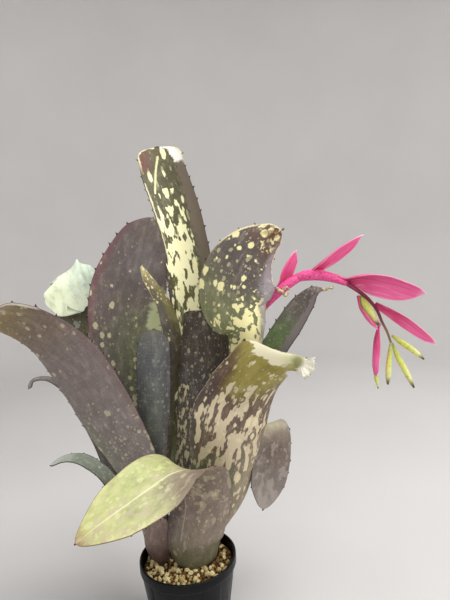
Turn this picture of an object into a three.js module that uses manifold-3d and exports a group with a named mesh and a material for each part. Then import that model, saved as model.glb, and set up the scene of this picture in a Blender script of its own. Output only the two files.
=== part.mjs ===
// A potted billbergia: a rosette of broad toothed leaves, a smaller offset beside it and an arching
// flower stalk, in a round pot of grit. Millimetres, +Z up. The origin is the middle of the pot's
// foot, and the plant is seen from -Y.

import * as THREE from 'three';
import Module from 'manifold-3d';
import { mergeVertices } from 'three/addons/utils/BufferGeometryUtils.js';

const wasm = await Module();
wasm.setup();

const { degToRad } = THREE.MathUtils;

// Pot
const potHeight = 80;
const rimRadius = 45;
const rimBand = 8;
const bandStep = 1;
const rimWall = 2;
const footRadius = 33;
const potWall = 1.6;
const potFloor = 2;
const potRounding = 0.6;
const potSides = 48;
const panelCount = 4;
const panelSpan = 66;
const panelTurn = -102;
const panelDepth = 0.6;
const panelFoot = 7;
const panelGap = 1.5;
const drainRadius = 4;
const drainCount = 4;
const drainPitch = 17;

// Soil, and the grit that lies on it
const soilLevel = 71;
const soilDip = 1;
const soilSlope = 6;
const soilSides = 40;
const clearance = 0.3;
const holeDepth = 12;
const holeFlare = 4;
const gritCount = 50;
const gritSeed = 4127;
const gritSize = [2.2, 3.6];
const gritFlatness = 0.75;
const gritSunk = 0.45;
const gritGap = 0.4;

// Blades
const midThickness = 1.7;
const edgeThickness = 0.9;
const bladeColumns = 5;
const toothLength = 2.6;
const toothFoot = 3.2;
const toothLean = 1.2;
const toothSpacing = 17;
const rowSpacing = 15;
const bendPerRow = 24;

// The two growing points: where each stands, the height of its leaf bases, its first ring and the
// step between rings, and the radii of its plate and of its stub in the soil
const rosette = { x: 6, y: 13, foot: soilLevel, core: 5, pitch: 2.6, plate: 24, stub: 24 };
const offset = { x: -27, y: 12, foot: potHeight + 3, core: 3, pitch: 2.1, plate: 13, stub: 7 };
const sheathHeight = 22;
const sheathFlare = 1.28;
const stemSides = 24;
const stubTaper = 3;
const plateThickness = 1.4;
const plateSlope = 1.1;

// What all bracts share: no teeth, a thin blade and a short point
const bractShape = { bare: Infinity, tip: 8, blunt: 1.6, teeth: 0, thick: 0.7, spine: 1.5 };

const colours = {
  pot: 0x1d2028,
  soil: 0xb9ad85,
  stem: 0x6b5a45,
  greyPurple: 0x6b6068,
  dark: 0x3c3230,
  olive: 0x6e6a3a,
  yellowGreen: 0xa9ad6c,
  green: 0x5f7a48,
  mint: 0xb9cfae,
  dry: 0x8a7462,
  stalk: 0x9a3355,
  pink: 0xe0588f,
  bud: 0xb9bd62,
};

function material(colour, roughness = 0.6) {
  return new THREE.MeshStandardMaterial({ color: colour, roughness, metalness: 0 });
}

// A smooth curve through rows of numbers. Each knot's slope is the mean of the slopes on its two
// sides, weighted to the nearer one. The first three numbers are a place and set the spacing.
function smoothThrough(rows) {
  const knots = [0];
  for (let i = 1; i < rows.length; i += 1) {
    const [ax, ay, az] = rows[i - 1];
    const [bx, by, bz] = rows[i];
    knots.push(knots[i - 1] + Math.hypot(bx - ax, by - ay, bz - az));
  }
  const last = rows.length - 1;
  const chord = (i, k) => (rows[i + 1][k] - rows[i][k]) / (knots[i + 1] - knots[i]);
  const slope = (i, k) => {
    if (i === 0) return chord(0, k);
    if (i === last) return chord(last - 1, k);
    const before = knots[i] - knots[i - 1];
    const after = knots[i + 1] - knots[i];
    return (chord(i - 1, k) * after + chord(i, k) * before) / (before + after);
  };
  const at = (s) => {
    let i = 0;
    while (i < last - 1 && s > knots[i + 1]) i += 1;
    const span = knots[i + 1] - knots[i];
    const f = THREE.MathUtils.clamp((s - knots[i]) / span, 0, 1);
    const f2 = f * f;
    const f3 = f2 * f;
    return rows[i].map((value, k) => (
      value * (2 * f3 - 3 * f2 + 1)
      + rows[i + 1][k] * (3 * f2 - 2 * f3)
      + slope(i, k) * span * (f3 - 2 * f2 + f)
      + slope(i + 1, k) * span * (f3 - f2)
    ));
  };
  return { at, length: knots[last] };
}

// The direction with this azimuth (0 is +X, 90 is +Y) and this height above the horizon
function heading(azimuth, elevation) {
  const a = degToRad(azimuth);
  const e = degToRad(elevation);
  return [Math.cos(a) * Math.cos(e), Math.sin(a) * Math.cos(e), Math.sin(e)];
}

// The centre line of a blade as place, directions, width and half cup at any distance from its base
function midrib(stations) {
  const rows = stations.map(([x, y, z, width, cup, azimuth, elevation]) => (
    [x, y, z, width, cup, ...heading(azimuth, elevation)]
  ));
  const line = smoothThrough(rows);
  const place = (s) => new THREE.Vector3(...line.at(s).slice(0, 3));
  const at = (s) => {
    const [, , , width, cup, fx, fy, fz] = line.at(s);
    const ahead = place(Math.min(s + 0.5, line.length));
    const along = ahead.sub(place(Math.max(s - 0.5, 0))).normalize();
    const face = new THREE.Vector3(fx, fy, fz);
    face.addScaledVector(along, -face.dot(along)).normalize();
    const across = new THREE.Vector3().crossVectors(along, face);
    return { point: place(s), along, face, across, width, halfCup: degToRad(cup) / 2 };
  };
  return { at, length: line.length };
}

// Distances of a blade's rows from its base: a close pair at the foot of each tooth, others between
// where the gap is long or the blade bends, and a few that round the tip
function bladeRows(rib, blade) {
  const { length } = rib;
  const round = length - blade.tip;
  const rows = [0];
  const toothed = new Set();
  const wanted = [];
  for (let s = blade.bare; s < round - toothFoot; s += toothSpacing) {
    wanted.push([s - toothFoot / 2, true], [s + toothFoot / 2, false]);
  }
  for (const part of [0, 0.45, 0.75, 0.95]) wanted.push([round + blade.tip * part, false]);
  for (const [s, startsTooth] of wanted) {
    const from = rows[rows.length - 1];
    const bend = rib.at(from).along.angleTo(rib.at(s).along);
    const byBend = Math.ceil(bend / degToRad(bendPerRow));
    const steps = Math.max(1, byBend, Math.round((s - from) / rowSpacing));
    for (let i = 1; i <= steps; i += 1) rows.push(from + (s - from) * (i / steps));
    if (startsTooth) toothed.add(rows.length - 1);
  }
  return { rows, toothed };
}

// A closed curved blade. Its section is an arc whose edges rise to the side it faces, and both
// faces are split into triangles alike.
function bladeGeometry(blade) {
  const rib = midrib(blade.stations);
  const columns = blade.columns ?? bladeColumns;
  const thick = blade.thick ?? 1;
  const { rows, toothed } = bladeRows(rib, blade);
  const points = [];
  const faces = [];
  const add = (point) => points.push(point) - 1;
  const round = rib.length - blade.tip;

  const sections = rows.map((s) => {
    const frame = rib.at(s);
    const beyond = Math.max(0, (s - round) / blade.tip);
    const width = frame.width * Math.sqrt(1 - beyond ** blade.blunt);
    const radius = frame.width / (2 * frame.halfCup);
    const upper = [];
    const lower = [];
    for (let j = 0; j < columns; j += 1) {
      const t = (2 * j) / (columns - 1) - 1;
      const turn = (t * width) / (2 * radius);
      const outward = frame.across.clone().multiplyScalar(Math.cos(turn))
        .addScaledVector(frame.face, Math.sin(turn));
      const normal = frame.face.clone().multiplyScalar(Math.cos(turn))
        .addScaledVector(frame.across, -Math.sin(turn));
      const centre = frame.point.clone()
        .addScaledVector(frame.across, radius * Math.sin(turn))
        .addScaledVector(frame.face, radius * (1 - Math.cos(turn)));
      const half = (thick * (midThickness + (edgeThickness - midThickness) * t * t)) / 2;
      upper.push(add(centre.clone().addScaledVector(normal, half)));
      lower.push(add(centre.clone().addScaledVector(normal, -half)));
      if (j === 0) frame.leftEdge = { centre, outward: outward.negate() };
      if (j === columns - 1) frame.rightEdge = { centre, outward };
    }
    return { upper, lower, frame };
  });

  const edge = columns - 1;
  const tooth = (side, a, b) => {
    const near = sections[a].frame[side];
    const far = sections[b].frame[side];
    return add(near.centre.clone().lerp(far.centre, 0.5)
      .addScaledVector(near.outward, toothLength * (blade.teeth ?? 1))
      .addScaledVector(sections[b].frame.along, toothLean));
  };
  const wall = (loop, apex) => {
    const [a, b, c, d] = loop;
    if (apex === undefined) faces.push([a, b, c], [a, c, d]);
    else faces.push([a, b, apex], [b, c, apex], [c, d, apex], [d, a, apex]);
  };
  for (let i = 0; i < sections.length - 1; i += 1) {
    const { upper: u0, lower: d0 } = sections[i];
    const { upper: u1, lower: d1 } = sections[i + 1];
    for (let j = 0; j < edge; j += 1) {
      faces.push([u0[j], u0[j + 1], u1[j + 1]], [u0[j], u1[j + 1], u1[j]]);
      faces.push([d0[j], d1[j + 1], d0[j + 1]], [d0[j], d1[j], d1[j + 1]]);
    }
    const hasTooth = toothed.has(i) && blade.teeth !== 0;
    const right = hasTooth ? tooth('rightEdge', i, i + 1) : undefined;
    const left = hasTooth ? tooth('leftEdge', i, i + 1) : undefined;
    wall([u0[edge], d0[edge], d1[edge], u1[edge]], right);
    wall([d0[0], u0[0], u1[0], d1[0]], left);
  }

  const first = sections[0];
  const final = sections[sections.length - 1];
  const end = rib.at(rib.length);
  const spine = add(end.point.clone().addScaledVector(end.along, blade.spine ?? toothLength));
  for (let j = 0; j < edge; j += 1) {
    wall([first.upper[j], first.lower[j], first.lower[j + 1], first.upper[j + 1]]);
    faces.push([final.upper[j], final.upper[j + 1], spine]);
    faces.push([final.lower[j + 1], final.lower[j], spine]);
  }
  faces.push([final.upper[edge], final.lower[edge], spine]);
  faces.push([final.lower[0], final.upper[0], spine]);
  return meshGeometry(points, faces);
}

function meshGeometry(points, faces) {
  const geometry = new THREE.BufferGeometry().setFromPoints(points);
  geometry.setIndex(faces.flat());
  geometry.computeVertexNormals();
  return geometry;
}

// A round tapered stalk through rows of x, y, z and radius, closed flat at both ends
function stalkGeometry(rows, sides = 8, spacing = 7) {
  const line = smoothThrough(rows);
  const steps = Math.max(3, Math.round(line.length / spacing));
  const points = [];
  const faces = [];
  const place = (s) => new THREE.Vector3(...line.at(s).slice(0, 3));
  let side = new THREE.Vector3(0, 1, 0);
  for (let i = 0; i <= steps; i += 1) {
    const s = (line.length * i) / steps;
    const along = place(Math.min(s + 0.5, line.length)).sub(place(Math.max(s - 0.5, 0)));
    along.normalize();
    side = side.clone().addScaledVector(along, -side.dot(along)).normalize();
    const up = new THREE.Vector3().crossVectors(along, side);
    const radius = line.at(s)[3];
    for (let k = 0; k < sides; k += 1) {
      const turn = (2 * Math.PI * k) / sides;
      points.push(place(s).addScaledVector(side, radius * Math.cos(turn))
        .addScaledVector(up, radius * Math.sin(turn)));
    }
  }
  const start = points.push(place(0)) - 1;
  const finish = points.push(place(line.length)) - 1;
  const last = steps * sides;
  for (let k = 0; k < sides; k += 1) {
    const next = (k + 1) % sides;
    faces.push([start, next, k], [finish, last + k, last + next]);
    for (let i = 0; i < steps; i += 1) {
      const a = i * sides;
      const b = a + sides;
      faces.push([a + k, a + next, b + next], [a + k, b + next, b + k]);
    }
  }
  return meshGeometry(points, faces);
}

function toSolid(geometry) {
  const bare = geometry.clone();
  bare.deleteAttribute('normal');
  bare.deleteAttribute('uv');
  const merged = mergeVertices(bare, 1e-4);
  return new wasm.Manifold(new wasm.Mesh({
    numProp: 3,
    vertProperties: new Float32Array(merged.attributes.position.array),
    triVerts: new Uint32Array(merged.index.array),
  }));
}

function toGeometry(solid) {
  const mesh = solid.getMesh();
  const geometry = new THREE.BufferGeometry();
  geometry.setAttribute('position', new THREE.BufferAttribute(mesh.vertProperties, 3));
  geometry.setIndex(new THREE.BufferAttribute(mesh.triVerts, 1));
  geometry.computeVertexNormals();
  return geometry;
}

// A turned solid from a profile of radius and height, standing at x, y
function turned(profile, sides, x = 0, y = 0) {
  const outline = profile.map(([radius, height]) => new THREE.Vector2(radius, height));
  return toSolid(new THREE.LatheGeometry(outline, sides).rotateX(Math.PI / 2).translate(x, y, 0));
}

// Radius of the pot's outer wall at a height, below the rim band
function wallRadius(z) {
  return THREE.MathUtils.lerp(footRadius, rimRadius - bandStep, z / (potHeight - rimBand));
}

function innerRadius(z) {
  return wallRadius(z) - potWall;
}

// The pot: a tapering wall under a smooth rim band, with shallow sunk panels and drain holes
function potGeometry() {
  const bandFoot = potHeight - rimBand;
  let pot = turned([
    [0, 0], [footRadius - potRounding, 0], [wallRadius(potRounding), potRounding],
    [wallRadius(bandFoot), bandFoot], [rimRadius - potRounding / 2, bandFoot],
    [rimRadius, bandFoot + potRounding], [rimRadius, potHeight - potRounding],
    [rimRadius - potRounding, potHeight], [rimRadius - rimWall + potRounding, potHeight],
    [rimRadius - rimWall, potHeight - potRounding], [innerRadius(bandFoot), bandFoot],
    [innerRadius(potFloor), potFloor], [0, potFloor],
  ], potSides);
  const panelTop = bandFoot - panelGap;
  const corners = [
    [wallRadius(panelFoot) - panelDepth, panelFoot], [rimRadius, panelFoot],
    [rimRadius, panelTop], [wallRadius(panelTop) - panelDepth, panelTop],
  ];
  for (let i = 0; i < panelCount; i += 1) {
    const from = degToRad(panelTurn - panelSpan / 2 + (i * 360) / panelCount);
    pot = pot.subtract(sector(corners, from, degToRad(panelSpan)));
  }
  const drain = [[0, -1], [drainRadius, -1], [drainRadius, potFloor + 1], [0, potFloor + 1]];
  for (let i = 0; i < drainCount; i += 1) {
    const turn = (2 * Math.PI * (i + 0.5)) / drainCount;
    const [x, y] = [drainPitch * Math.cos(turn), drainPitch * Math.sin(turn)];
    pot = pot.subtract(turned(drain, 12, x, y));
  }
  return toGeometry(pot);
}

// A closed slice of a turned ring: a section of radii and heights swept about the Z axis
function sector(section, from, span) {
  const steps = 8;
  const count = section.length;
  const points = [];
  const faces = [];
  for (let i = 0; i <= steps; i += 1) {
    const turn = from + (span * i) / steps;
    for (const [radius, height] of section) {
      points.push(new THREE.Vector3(radius * Math.cos(turn), radius * Math.sin(turn), height));
    }
  }
  for (let i = 0; i < steps; i += 1) {
    for (let k = 0; k < count; k += 1) {
      const a = i * count + k;
      const b = i * count + ((k + 1) % count);
      faces.push([a, a + count, b + count], [a, b + count, b]);
    }
  }
  const end = steps * count;
  for (let k = 1; k < count - 1; k += 1) {
    faces.push([0, k, k + 1], [end, end + k + 1, end + k]);
  }
  return toSolid(meshGeometry(points, faces));
}

// The short woody stem under a growing point: a stub in the soil and the plate its leaves sit on
function stemGeometry(crown) {
  const top = crown.foot - 2 * clearance;
  const bottom = soilLevel - holeDepth + clearance;
  const neck = top - plateThickness;
  return toGeometry(turned([
    [0, bottom], [crown.stub - stubTaper, bottom], [crown.stub, bottom + stubTaper],
    [crown.stub, neck - plateSlope], [crown.plate, neck], [crown.plate, top], [0, top],
  ], stemSides, crown.x, crown.y));
}

// Repeatable numbers from 0 to 1
function seeded(seed) {
  let state = seed;
  return () => {
    state = (state * 1664525 + 1013904223) % 4294967296;
    return state / 4294967296;
  };
}

// Soil that fills the pot, with plain holes for the stems and pale grit sunk in its top
function soilGeometry() {
  const floor = potFloor + clearance;
  const gap = clearance * 1.5;
  const brim = innerRadius(soilLevel) - gap;
  const surface = soilLevel - soilDip;
  let soil = turned([
    [0, floor], [innerRadius(floor) - gap, floor], [brim, soilLevel],
    [brim - soilSlope, surface], [0, surface],
  ], soilSides);
  const next = seeded(gritSeed);
  let placed = 0;
  while (placed < gritCount) {
    const size = THREE.MathUtils.lerp(gritSize[0], gritSize[1], next());
    const turn = 2 * Math.PI * next();
    const reach = (brim - size - gritGap) * Math.sqrt(next());
    const x = reach * Math.cos(turn);
    const y = reach * Math.sin(turn);
    const clear = [rosette, offset].every((crown) => (
      Math.hypot(x - crown.x, y - crown.y) > crown.stub + size * gritGap
    ));
    const grain = new THREE.IcosahedronGeometry(size, 0);
    grain.scale(1, THREE.MathUtils.lerp(0.7, 1, next()), gritFlatness);
    grain.rotateZ(turn * 3).rotateX(next());
    grain.translate(x, y, surface + size * (gritFlatness - gritSunk));
    if (clear) {
      soil = soil.add(toSolid(grain));
      placed += 1;
    }
  }
  for (const crown of [rosette, offset]) {
    const hole = crown.stub + clearance;
    soil = soil.subtract(turned([
      [0, soilLevel - holeDepth], [hole, soilLevel - holeDepth], [hole, surface],
      [hole + holeFlare, potHeight], [0, potHeight],
    ], stemSides, crown.x, crown.y));
  }
  return toGeometry(soil);
}

// A leaf's first two stations: an upright sheath on its ring about the growing point
function sheath({ crown, ring, around, foot }) {
  const radius = crown.core + ring * crown.pitch;
  const cup = THREE.MathUtils.radToDeg(foot / radius);
  const turn = degToRad(around);
  return [[1, 0], [sheathFlare, sheathHeight]].map(([flare, rise]) => [
    crown.x + radius * flare * Math.cos(turn),
    crown.y + radius * flare * Math.sin(turn),
    crown.foot + rise, foot * flare, cup, around + 180, 0,
  ]);
}

// Leaves. Each sits on a ring about its growing point, at an angle around it, with a foot this
// wide. Its stations are x, y, z, width, cup, and the azimuth and elevation of the side it faces.
const leaves = [
  {
    name: 'leaf_front_fold', colour: colours.yellowGreen, crown: rosette,
    ring: 7, around: -90, foot: 50, bare: 118, tip: 34, blunt: 1.5,
    stations: [
      [19, -24, 137, 52, 84, 92, 0],
      [20, -33, 160, 50, 60, 84, 12],
      [14, -44, 178, 52, 40, 66, 48],
      [-2, -56, 182, 56, 30, -10, 76],
      [-18, -68, 177, 54, 24, -52, 62],
      [-37, -80, 169, 48, 22, -62, 60],
      [-54, -89, 161, 38, 24, -64, 60],
      [-69, -95, 152, 26, 26, -66, 60],
    ],
  },
  {
    name: 'leaf_spout', colour: colours.olive, crown: rosette,
    ring: 4, around: -67, foot: 36, bare: 95, tip: 8, blunt: 3, columns: 7,
    stations: [
      [24, -5, 112, 54, 106, 106, 0],
      [35, -9, 137, 60, 94, 102, 0],
      [43, -18, 175, 72, 92, 104, 0],
      [51, -25, 206, 82, 92, 110, 2],
      [58, -25, 224, 84, 92, 112, 8],
      [71, -33, 246, 80, 98, 109, 20],
      [82, -39, 257, 68, 108, 103, 26],
      [93, -42, 261, 46, 112, 100, 38],
      [104, -42, 259, 24, 112, 98, 50],
      [114, -40, 253, 27, 100, 98, 50],
    ],
  },
  {
    name: 'leaf_dark', colour: colours.dark, crown: rosette,
    ring: 1, around: -105, foot: 20, bare: 110, tip: 10, blunt: 3,
    stations: [
      [8, 5, 137, 36, 90, 88, 0],
      [14, 3, 182, 42, 78, 88, 0],
      [21, 1, 228, 48, 66, 88, 0],
      [29, 0, 273, 50, 58, 88, 0],
      [33, 0, 309, 48, 52, 88, 0],
    ],
  },
  {
    name: 'leaf_spotted', colour: colours.olive, crown: rosette,
    ring: 2, around: -62, foot: 26, bare: 150, tip: 12, blunt: 2.4,
    stations: [
      [27, -3, 140, 38, 110, 112, 0],
      [40, -8, 184, 38, 120, 108, 0],
      [54, -13, 224, 36, 140, 104, 0],
      [65, -17, 268, 36, 120, 102, 0],
      [66, -20, 291, 42, 90, 100, 0],
      [60, -20, 306, 60, 66, 99, 0],
      [58, -20, 325, 66, 58, 98, 2],
      [65, -18, 346, 60, 50, 98, 4],
      [78, -14, 361, 44, 44, 98, 6],
      [90, -10, 369, 28, 40, 100, 8],
      [101, -8, 375, 18, 36, 100, 8],
    ],
  },
  {
    name: 'leaf_tall', colour: colours.olive, crown: rosette,
    ring: 0, around: 92, foot: 14, bare: 150, tip: 16, blunt: 3.2,
    stations: [
      [13, 24, 140, 34, 100, -90, 0],
      [11, 35, 190, 56, 50, -90, 0],
      [15, 39, 239, 56, 44, -88, 0],
      [20, 38, 295, 50, 68, -86, 0],
      [16, 33, 352, 45, 74, -84, 2],
      [4, 34, 410, 46, 70, -82, 6],
      [-6, 40, 444, 46, 66, -82, 10],
      [-11, 46, 468, 44, 60, -80, 14],
    ],
  },
  {
    name: 'leaf_right', colour: colours.green, crown: rosette,
    ring: 3, around: 32, foot: 24, bare: 130, tip: 8, blunt: 1.8,
    stations: [
      [46, 33, 140, 28, 110, -150, 0],
      [60, 39, 182, 32, 104, -140, 6],
      [79, 43, 227, 33, 100, -130, 12],
      [100, 45, 264, 33, 100, -122, 18],
      [116, 46, 287, 31, 90, -116, 24],
      [129, 47, 305, 25, 80, -114, 26],
      [139, 47, 316, 14, 70, -110, 40],
      [149, 46, 319, 6, 60, -100, 70],
    ],
  },
  {
    name: 'leaf_hanging', colour: colours.greyPurple, crown: rosette,
    ring: 5, around: 46, foot: 26, bare: 105, tip: 30, blunt: 1.7,
    stations: [
      [60, 31, 137, 26, 75, 185, 0],
      [69, 34.5, 156, 27, 60, 160, 6],
      [79, 32, 173, 28, 44, 130, 10],
      [82, 29.5, 184, 28, 34, 120, 6],
      [83.7, 26.4, 190, 29, 30, 120, 60],
      [87.2, 20.3, 190, 31, 28, -60, 60],
      [89, 17.5, 184, 33, 26, -60, 8],
      [87.5, 15.5, 168, 36, 26, -62, 6],
      [81.5, 13, 142, 36, 28, -66, 4],
      [73.5, 13, 112, 30, 30, -68, 2],
    ],
  },
  {
    name: 'leaf_broad', colour: colours.greyPurple, crown: offset,
    ring: 2, around: 98, foot: 18, bare: 105, tip: 24, blunt: 1.7,
    stations: [
      [-41, 32, 140, 36, 84, -80, 0],
      [-46, 38, 189, 50, 60, -78, 0],
      [-50, 42, 236, 64, 50, -76, 0],
      [-55, 47, 288, 74, 44, -74, 2],
      [-49, 51, 329, 77, 42, -74, 4],
      [-39, 55, 361, 63, 40, -76, 8],
      [-30, 60, 385, 45, 36, -78, 12],
      [-22, 66, 402, 28, 36, -78, 12],
    ],
  },
  {
    name: 'leaf_left_arch', colour: colours.greyPurple, crown: offset,
    ring: 3, around: -125, foot: 20, bare: 88, tip: 18, blunt: 1.8,
    stations: [
      [-35, -5, 140, 42, 66, 66, 4],
      [-47, -14, 180, 52, 50, 76, 12],
      [-59, -22, 214, 56, 40, 82, 20],
      [-71, -29, 245, 57, 34, 84, 26],
      [-85, -35, 274, 56, 30, 84, 28],
      [-101, -39, 294, 50, 30, 84, 30],
      [-123, -43, 309, 40, 30, 84, 32],
      [-144, -46, 312, 27, 30, 84, 34],
    ],
  },
  {
    name: 'leaf_pale', colour: colours.mint, crown: offset,
    ring: 4, around: 128, foot: 26, bare: 110, tip: 14, blunt: 2.6,
    stations: [
      [-53, 44, 140, 26, 50, -60, 0],
      [-70, 50, 188, 34, 40, -64, 4],
      [-86, 57, 234, 44, 34, -66, 6],
      [-97.5, 61.5, 280, 48, 24, -70, 4],
      [-104, 63, 316, 49, 16, -71, 6],
      [-111, 63, 341, 46, 12, -72, 6],
      [-111.9, 59.2, 348, 45, 12, -48, -50],
      [-109.5, 51.6, 348.8, 45, 12, 75, -61],
      [-106, 47.8, 342.6, 49, 12, 108, -6],
      [-100.2, 47.8, 325.5, 55, 14, 108, -6],
      [-95.2, 47.8, 310, 52, 16, 108, -6],
    ],
  },
  {
    name: 'leaf_grey', colour: colours.greyPurple, crown: offset,
    ring: 1, around: -92, foot: 16, bare: 100, tip: 22, blunt: 2,
    stations: [
      [-28, 2, 134, 22, 76, 88, 0],
      [-25, -2, 182, 25, 60, 88, 0],
      [-23, -4, 222, 31, 50, 88, 0],
      [-21, -4, 257, 32, 46, 88, 0],
      [-18, -2, 293, 28, 44, 86, 0],
    ],
  },
  {
    name: 'leaf_curled', colour: colours.olive, crown: offset,
    ring: 0, around: 0, foot: 11, bare: 110, tip: 14, blunt: 2,
    stations: [
      [-18, 14, 140, 22, 120, 176, 0],
      [-10, 13, 190, 26, 110, 172, 0],
      [-5, 12, 232, 28, 104, 168, 0],
      [2, 11, 268, 32, 100, 160, 0],
      [0, 9.5, 298, 32, 104, 158, 12],
      [-10, 9, 320, 26, 106, 158, 28],
      [-20, 6, 338, 18, 100, 166, 20],
      [-27, 3, 351, 10, 60, 178, 10],
    ],
  },
  {
    name: 'leaf_low', colour: colours.green, crown: offset,
    ring: 5, around: 214, foot: 14, bare: 60, tip: 18, blunt: 1.6,
    stations: [
      [-60, 8, 130, 16, 60, -20, 56],
      [-82, 17, 155, 18, 50, -30, 66],
      [-104, 23, 166, 17, 46, -50, 72],
      [-120, 25, 166, 13, 44, -60, 76],
      [-133, 25, 161, 8, 40, -60, 76],
    ],
  },
  {
    name: 'leaf_dry_tip', colour: colours.dry, crown: offset,
    ring: 5, around: 160, foot: 9, bare: 90, tip: 12, blunt: 1.6, teeth: 0,
    stations: [
      [-66, 28, 122, 14, 70, -30, 24],
      [-86, 46, 158, 15, 70, -30, 30],
      [-108, 61, 198, 14, 70, -40, 40],
      [-132, 72, 226, 11, 80, -50, 50],
      [-152, 76, 236, 8, 90, -60, 60],
      [-166, 77, 234, 7, 90, -60, 60],
      [-172, 78, 226, 6, 80, -80, 20],
    ],
  },
];

// Flower stalk: x, y, z and radius from the heart of the rosette to the drooping end
const stalkLine = [
  [6, 13, 71, 2.4], [8, 12.5, 100, 2.6], [16, 11.5, 145, 2.6], [30, 11, 195, 2.5],
  [48, 10.5, 240, 2.4], [70, 10, 284, 2.4], [87, 9, 309, 2.5], [103, 7, 324.5, 2.5],
  [121, 5, 333.2, 2.4], [131, 4, 333.8, 2.4], [143, 2, 331.6, 2.5], [156, -1.5, 326.3, 2.3],
  [167, -4, 318.5, 2.1], [177, -5, 309.5, 2], [184, -6, 299, 1.8], [188, -7, 288, 1.5],
  [191.6, -8, 279.6, 1.2], [194.3, -9, 270, 1],
];

// Bracts: leaf-like, without teeth
const bracts = [
  {
    name: 'bract_lowest',
    stations: [
      [93.4, 10.9, 319.7, 9.2, 143, -61, -31],
      [102, 12.5, 329, 14, 110, -60, -20], [105.5, 11, 339, 14, 100, -60, -20],
      [110.5, 8, 348.5, 11, 100, -60, -20], [115.5, 6, 357, 4, 80, -60, -20],
    ],
  },
  {
    name: 'bract_upper',
    stations: [
      [110.5, 7.9, 333.4, 6, 92, -51, -55], [115.9, 7.2, 335.8, 8.6, 131, -60, -60],
      [121.5, 6.7, 337.2, 9.4, 143, -76, -64], [127, 6.2, 337.6, 9.6, 146, -91, -65],
      [138, 2, 345, 16, 110, -60, -55], [151, -1, 354, 18, 90, -60, -50],
      [163, -5, 361.5, 13, 80, -60, -50], [173, -7, 367, 3, 60, -60, -50],
    ],
  },
  {
    name: 'bract_long',
    stations: [
      [136.8, 5.1, 336.5, 6, 92, -115, -58], [144.3, 3.8, 334.8, 8.6, 131, -126, -56],
      [151.7, 1.9, 332.3, 9.4, 143, -136, -52], [158, 0.3, 329.1, 9.6, 146, -139, -46],
      [171, -4.5, 329.5, 24, 120, -90, -50], [188, -10, 325.5, 30, 104, -88, -46],
      [206, -15, 319, 24, 100, -86, -46], [222, -18, 313, 6, 80, -86, -46],
    ],
  },
  {
    name: 'bract_cupped',
    stations: [
      [166.3, -6.3, 313.4, 7, 130, -20, 46], [168.2, -6.1, 304, 10, 120, -40, 36],
      [171.4, -8, 296, 13, 120, -40, 40], [176, -9.8, 289, 12, 110, -40, 40],
      [181.5, -12, 283.5, 4, 80, -40, 40],
    ],
  },
  {
    name: 'bract_end',
    stations: [
      [183.4, -3.3, 305.6, 7.5, 128, -138, -23],
      [198, -7.5, 296.5, 13, 110, -100, -50], [211, -9, 286.5, 13, 100, -100, -45],
      [223, -11, 275.5, 9, 90, -100, -40], [233, -12, 267, 3, 60, -100, -40],
    ],
  },
  {
    name: 'bract_hanging',
    stations: [
      [185.3, -6.1, 287.9, 5, 118, -20, 21],
      [180.2, -9, 276, 12, 120, 0, 0], [177.8, -10.5, 262, 11, 120, 0, 0],
      [176.8, -11.5, 250, 9, 110, 0, 0], [178.4, -12, 238, 3, 90, 0, 0],
    ],
  },
];

// Flower buds: x, y, z and radius
const buds = [
  {
    name: 'bud_first',
    line: [
      [169, -7.2, 313.6, 0.8], [171.5, -9, 307, 3.2], [175, -11, 300, 3.8],
      [179, -12.5, 293, 2.6], [182, -13.5, 287, 1],
    ],
  },
  {
    name: 'bud_right',
    line: [
      [195, -9.6, 276.4, 0.8], [201, -10, 271.5, 2.4], [209, -10.5, 265.5, 2.8],
      [216, -11.5, 259.5, 2.4], [222, -12, 254, 0.8],
    ],
  },
  {
    name: 'bud_middle',
    line: [
      [195.2, -9.5, 269.7, 0.8], [199, -10, 258, 2.3], [203, -11, 249, 2.7], [208, -12, 238, 2.4],
      [212, -13, 229, 0.8],
    ],
  },
  {
    name: 'bud_left',
    line: [
      [193.4, -9.3, 269.3, 0.8], [192, -10, 257, 2.2], [190.5, -11, 248, 2.6],
      [189.5, -12, 240, 2.2], [189, -12, 233, 0.8],
    ],
  },
];

const plant = new THREE.Group();
function place(name, geometry, finish) {
  const mesh = new THREE.Mesh(geometry, finish);
  mesh.name = name;
  plant.add(mesh);
}

place('pot', potGeometry(), material(colours.pot, 0.4));
place('soil', soilGeometry(), material(colours.soil, 0.95));
place('stem_rosette', stemGeometry(rosette), material(colours.stem, 0.9));
place('stem_offset', stemGeometry(offset), material(colours.stem, 0.9));
for (const leaf of leaves) {
  const stations = [...sheath(leaf), ...leaf.stations];
  place(leaf.name, bladeGeometry({ ...leaf, stations }), material(leaf.colour));
}
place('flower_stalk', stalkGeometry(stalkLine), material(colours.stalk));
for (const bract of bracts) {
  place(bract.name, bladeGeometry({ ...bractShape, ...bract }), material(colours.pink, 0.5));
}
for (const bud of buds) {
  place(bud.name, stalkGeometry(bud.line, 8, 6), material(colours.bud, 0.5));
}

export default plant;
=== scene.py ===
"""A potted billbergia: fine blades, stalk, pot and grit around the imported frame, and their finishes.

Sizes are in millimetres until a mesh is made. Stops are positions and their values in turn.
"""

import random
from math import cos, pi, radians, sin, tau

import bmesh
import bpy
import numpy as np
from mathutils import Matrix, Vector


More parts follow.
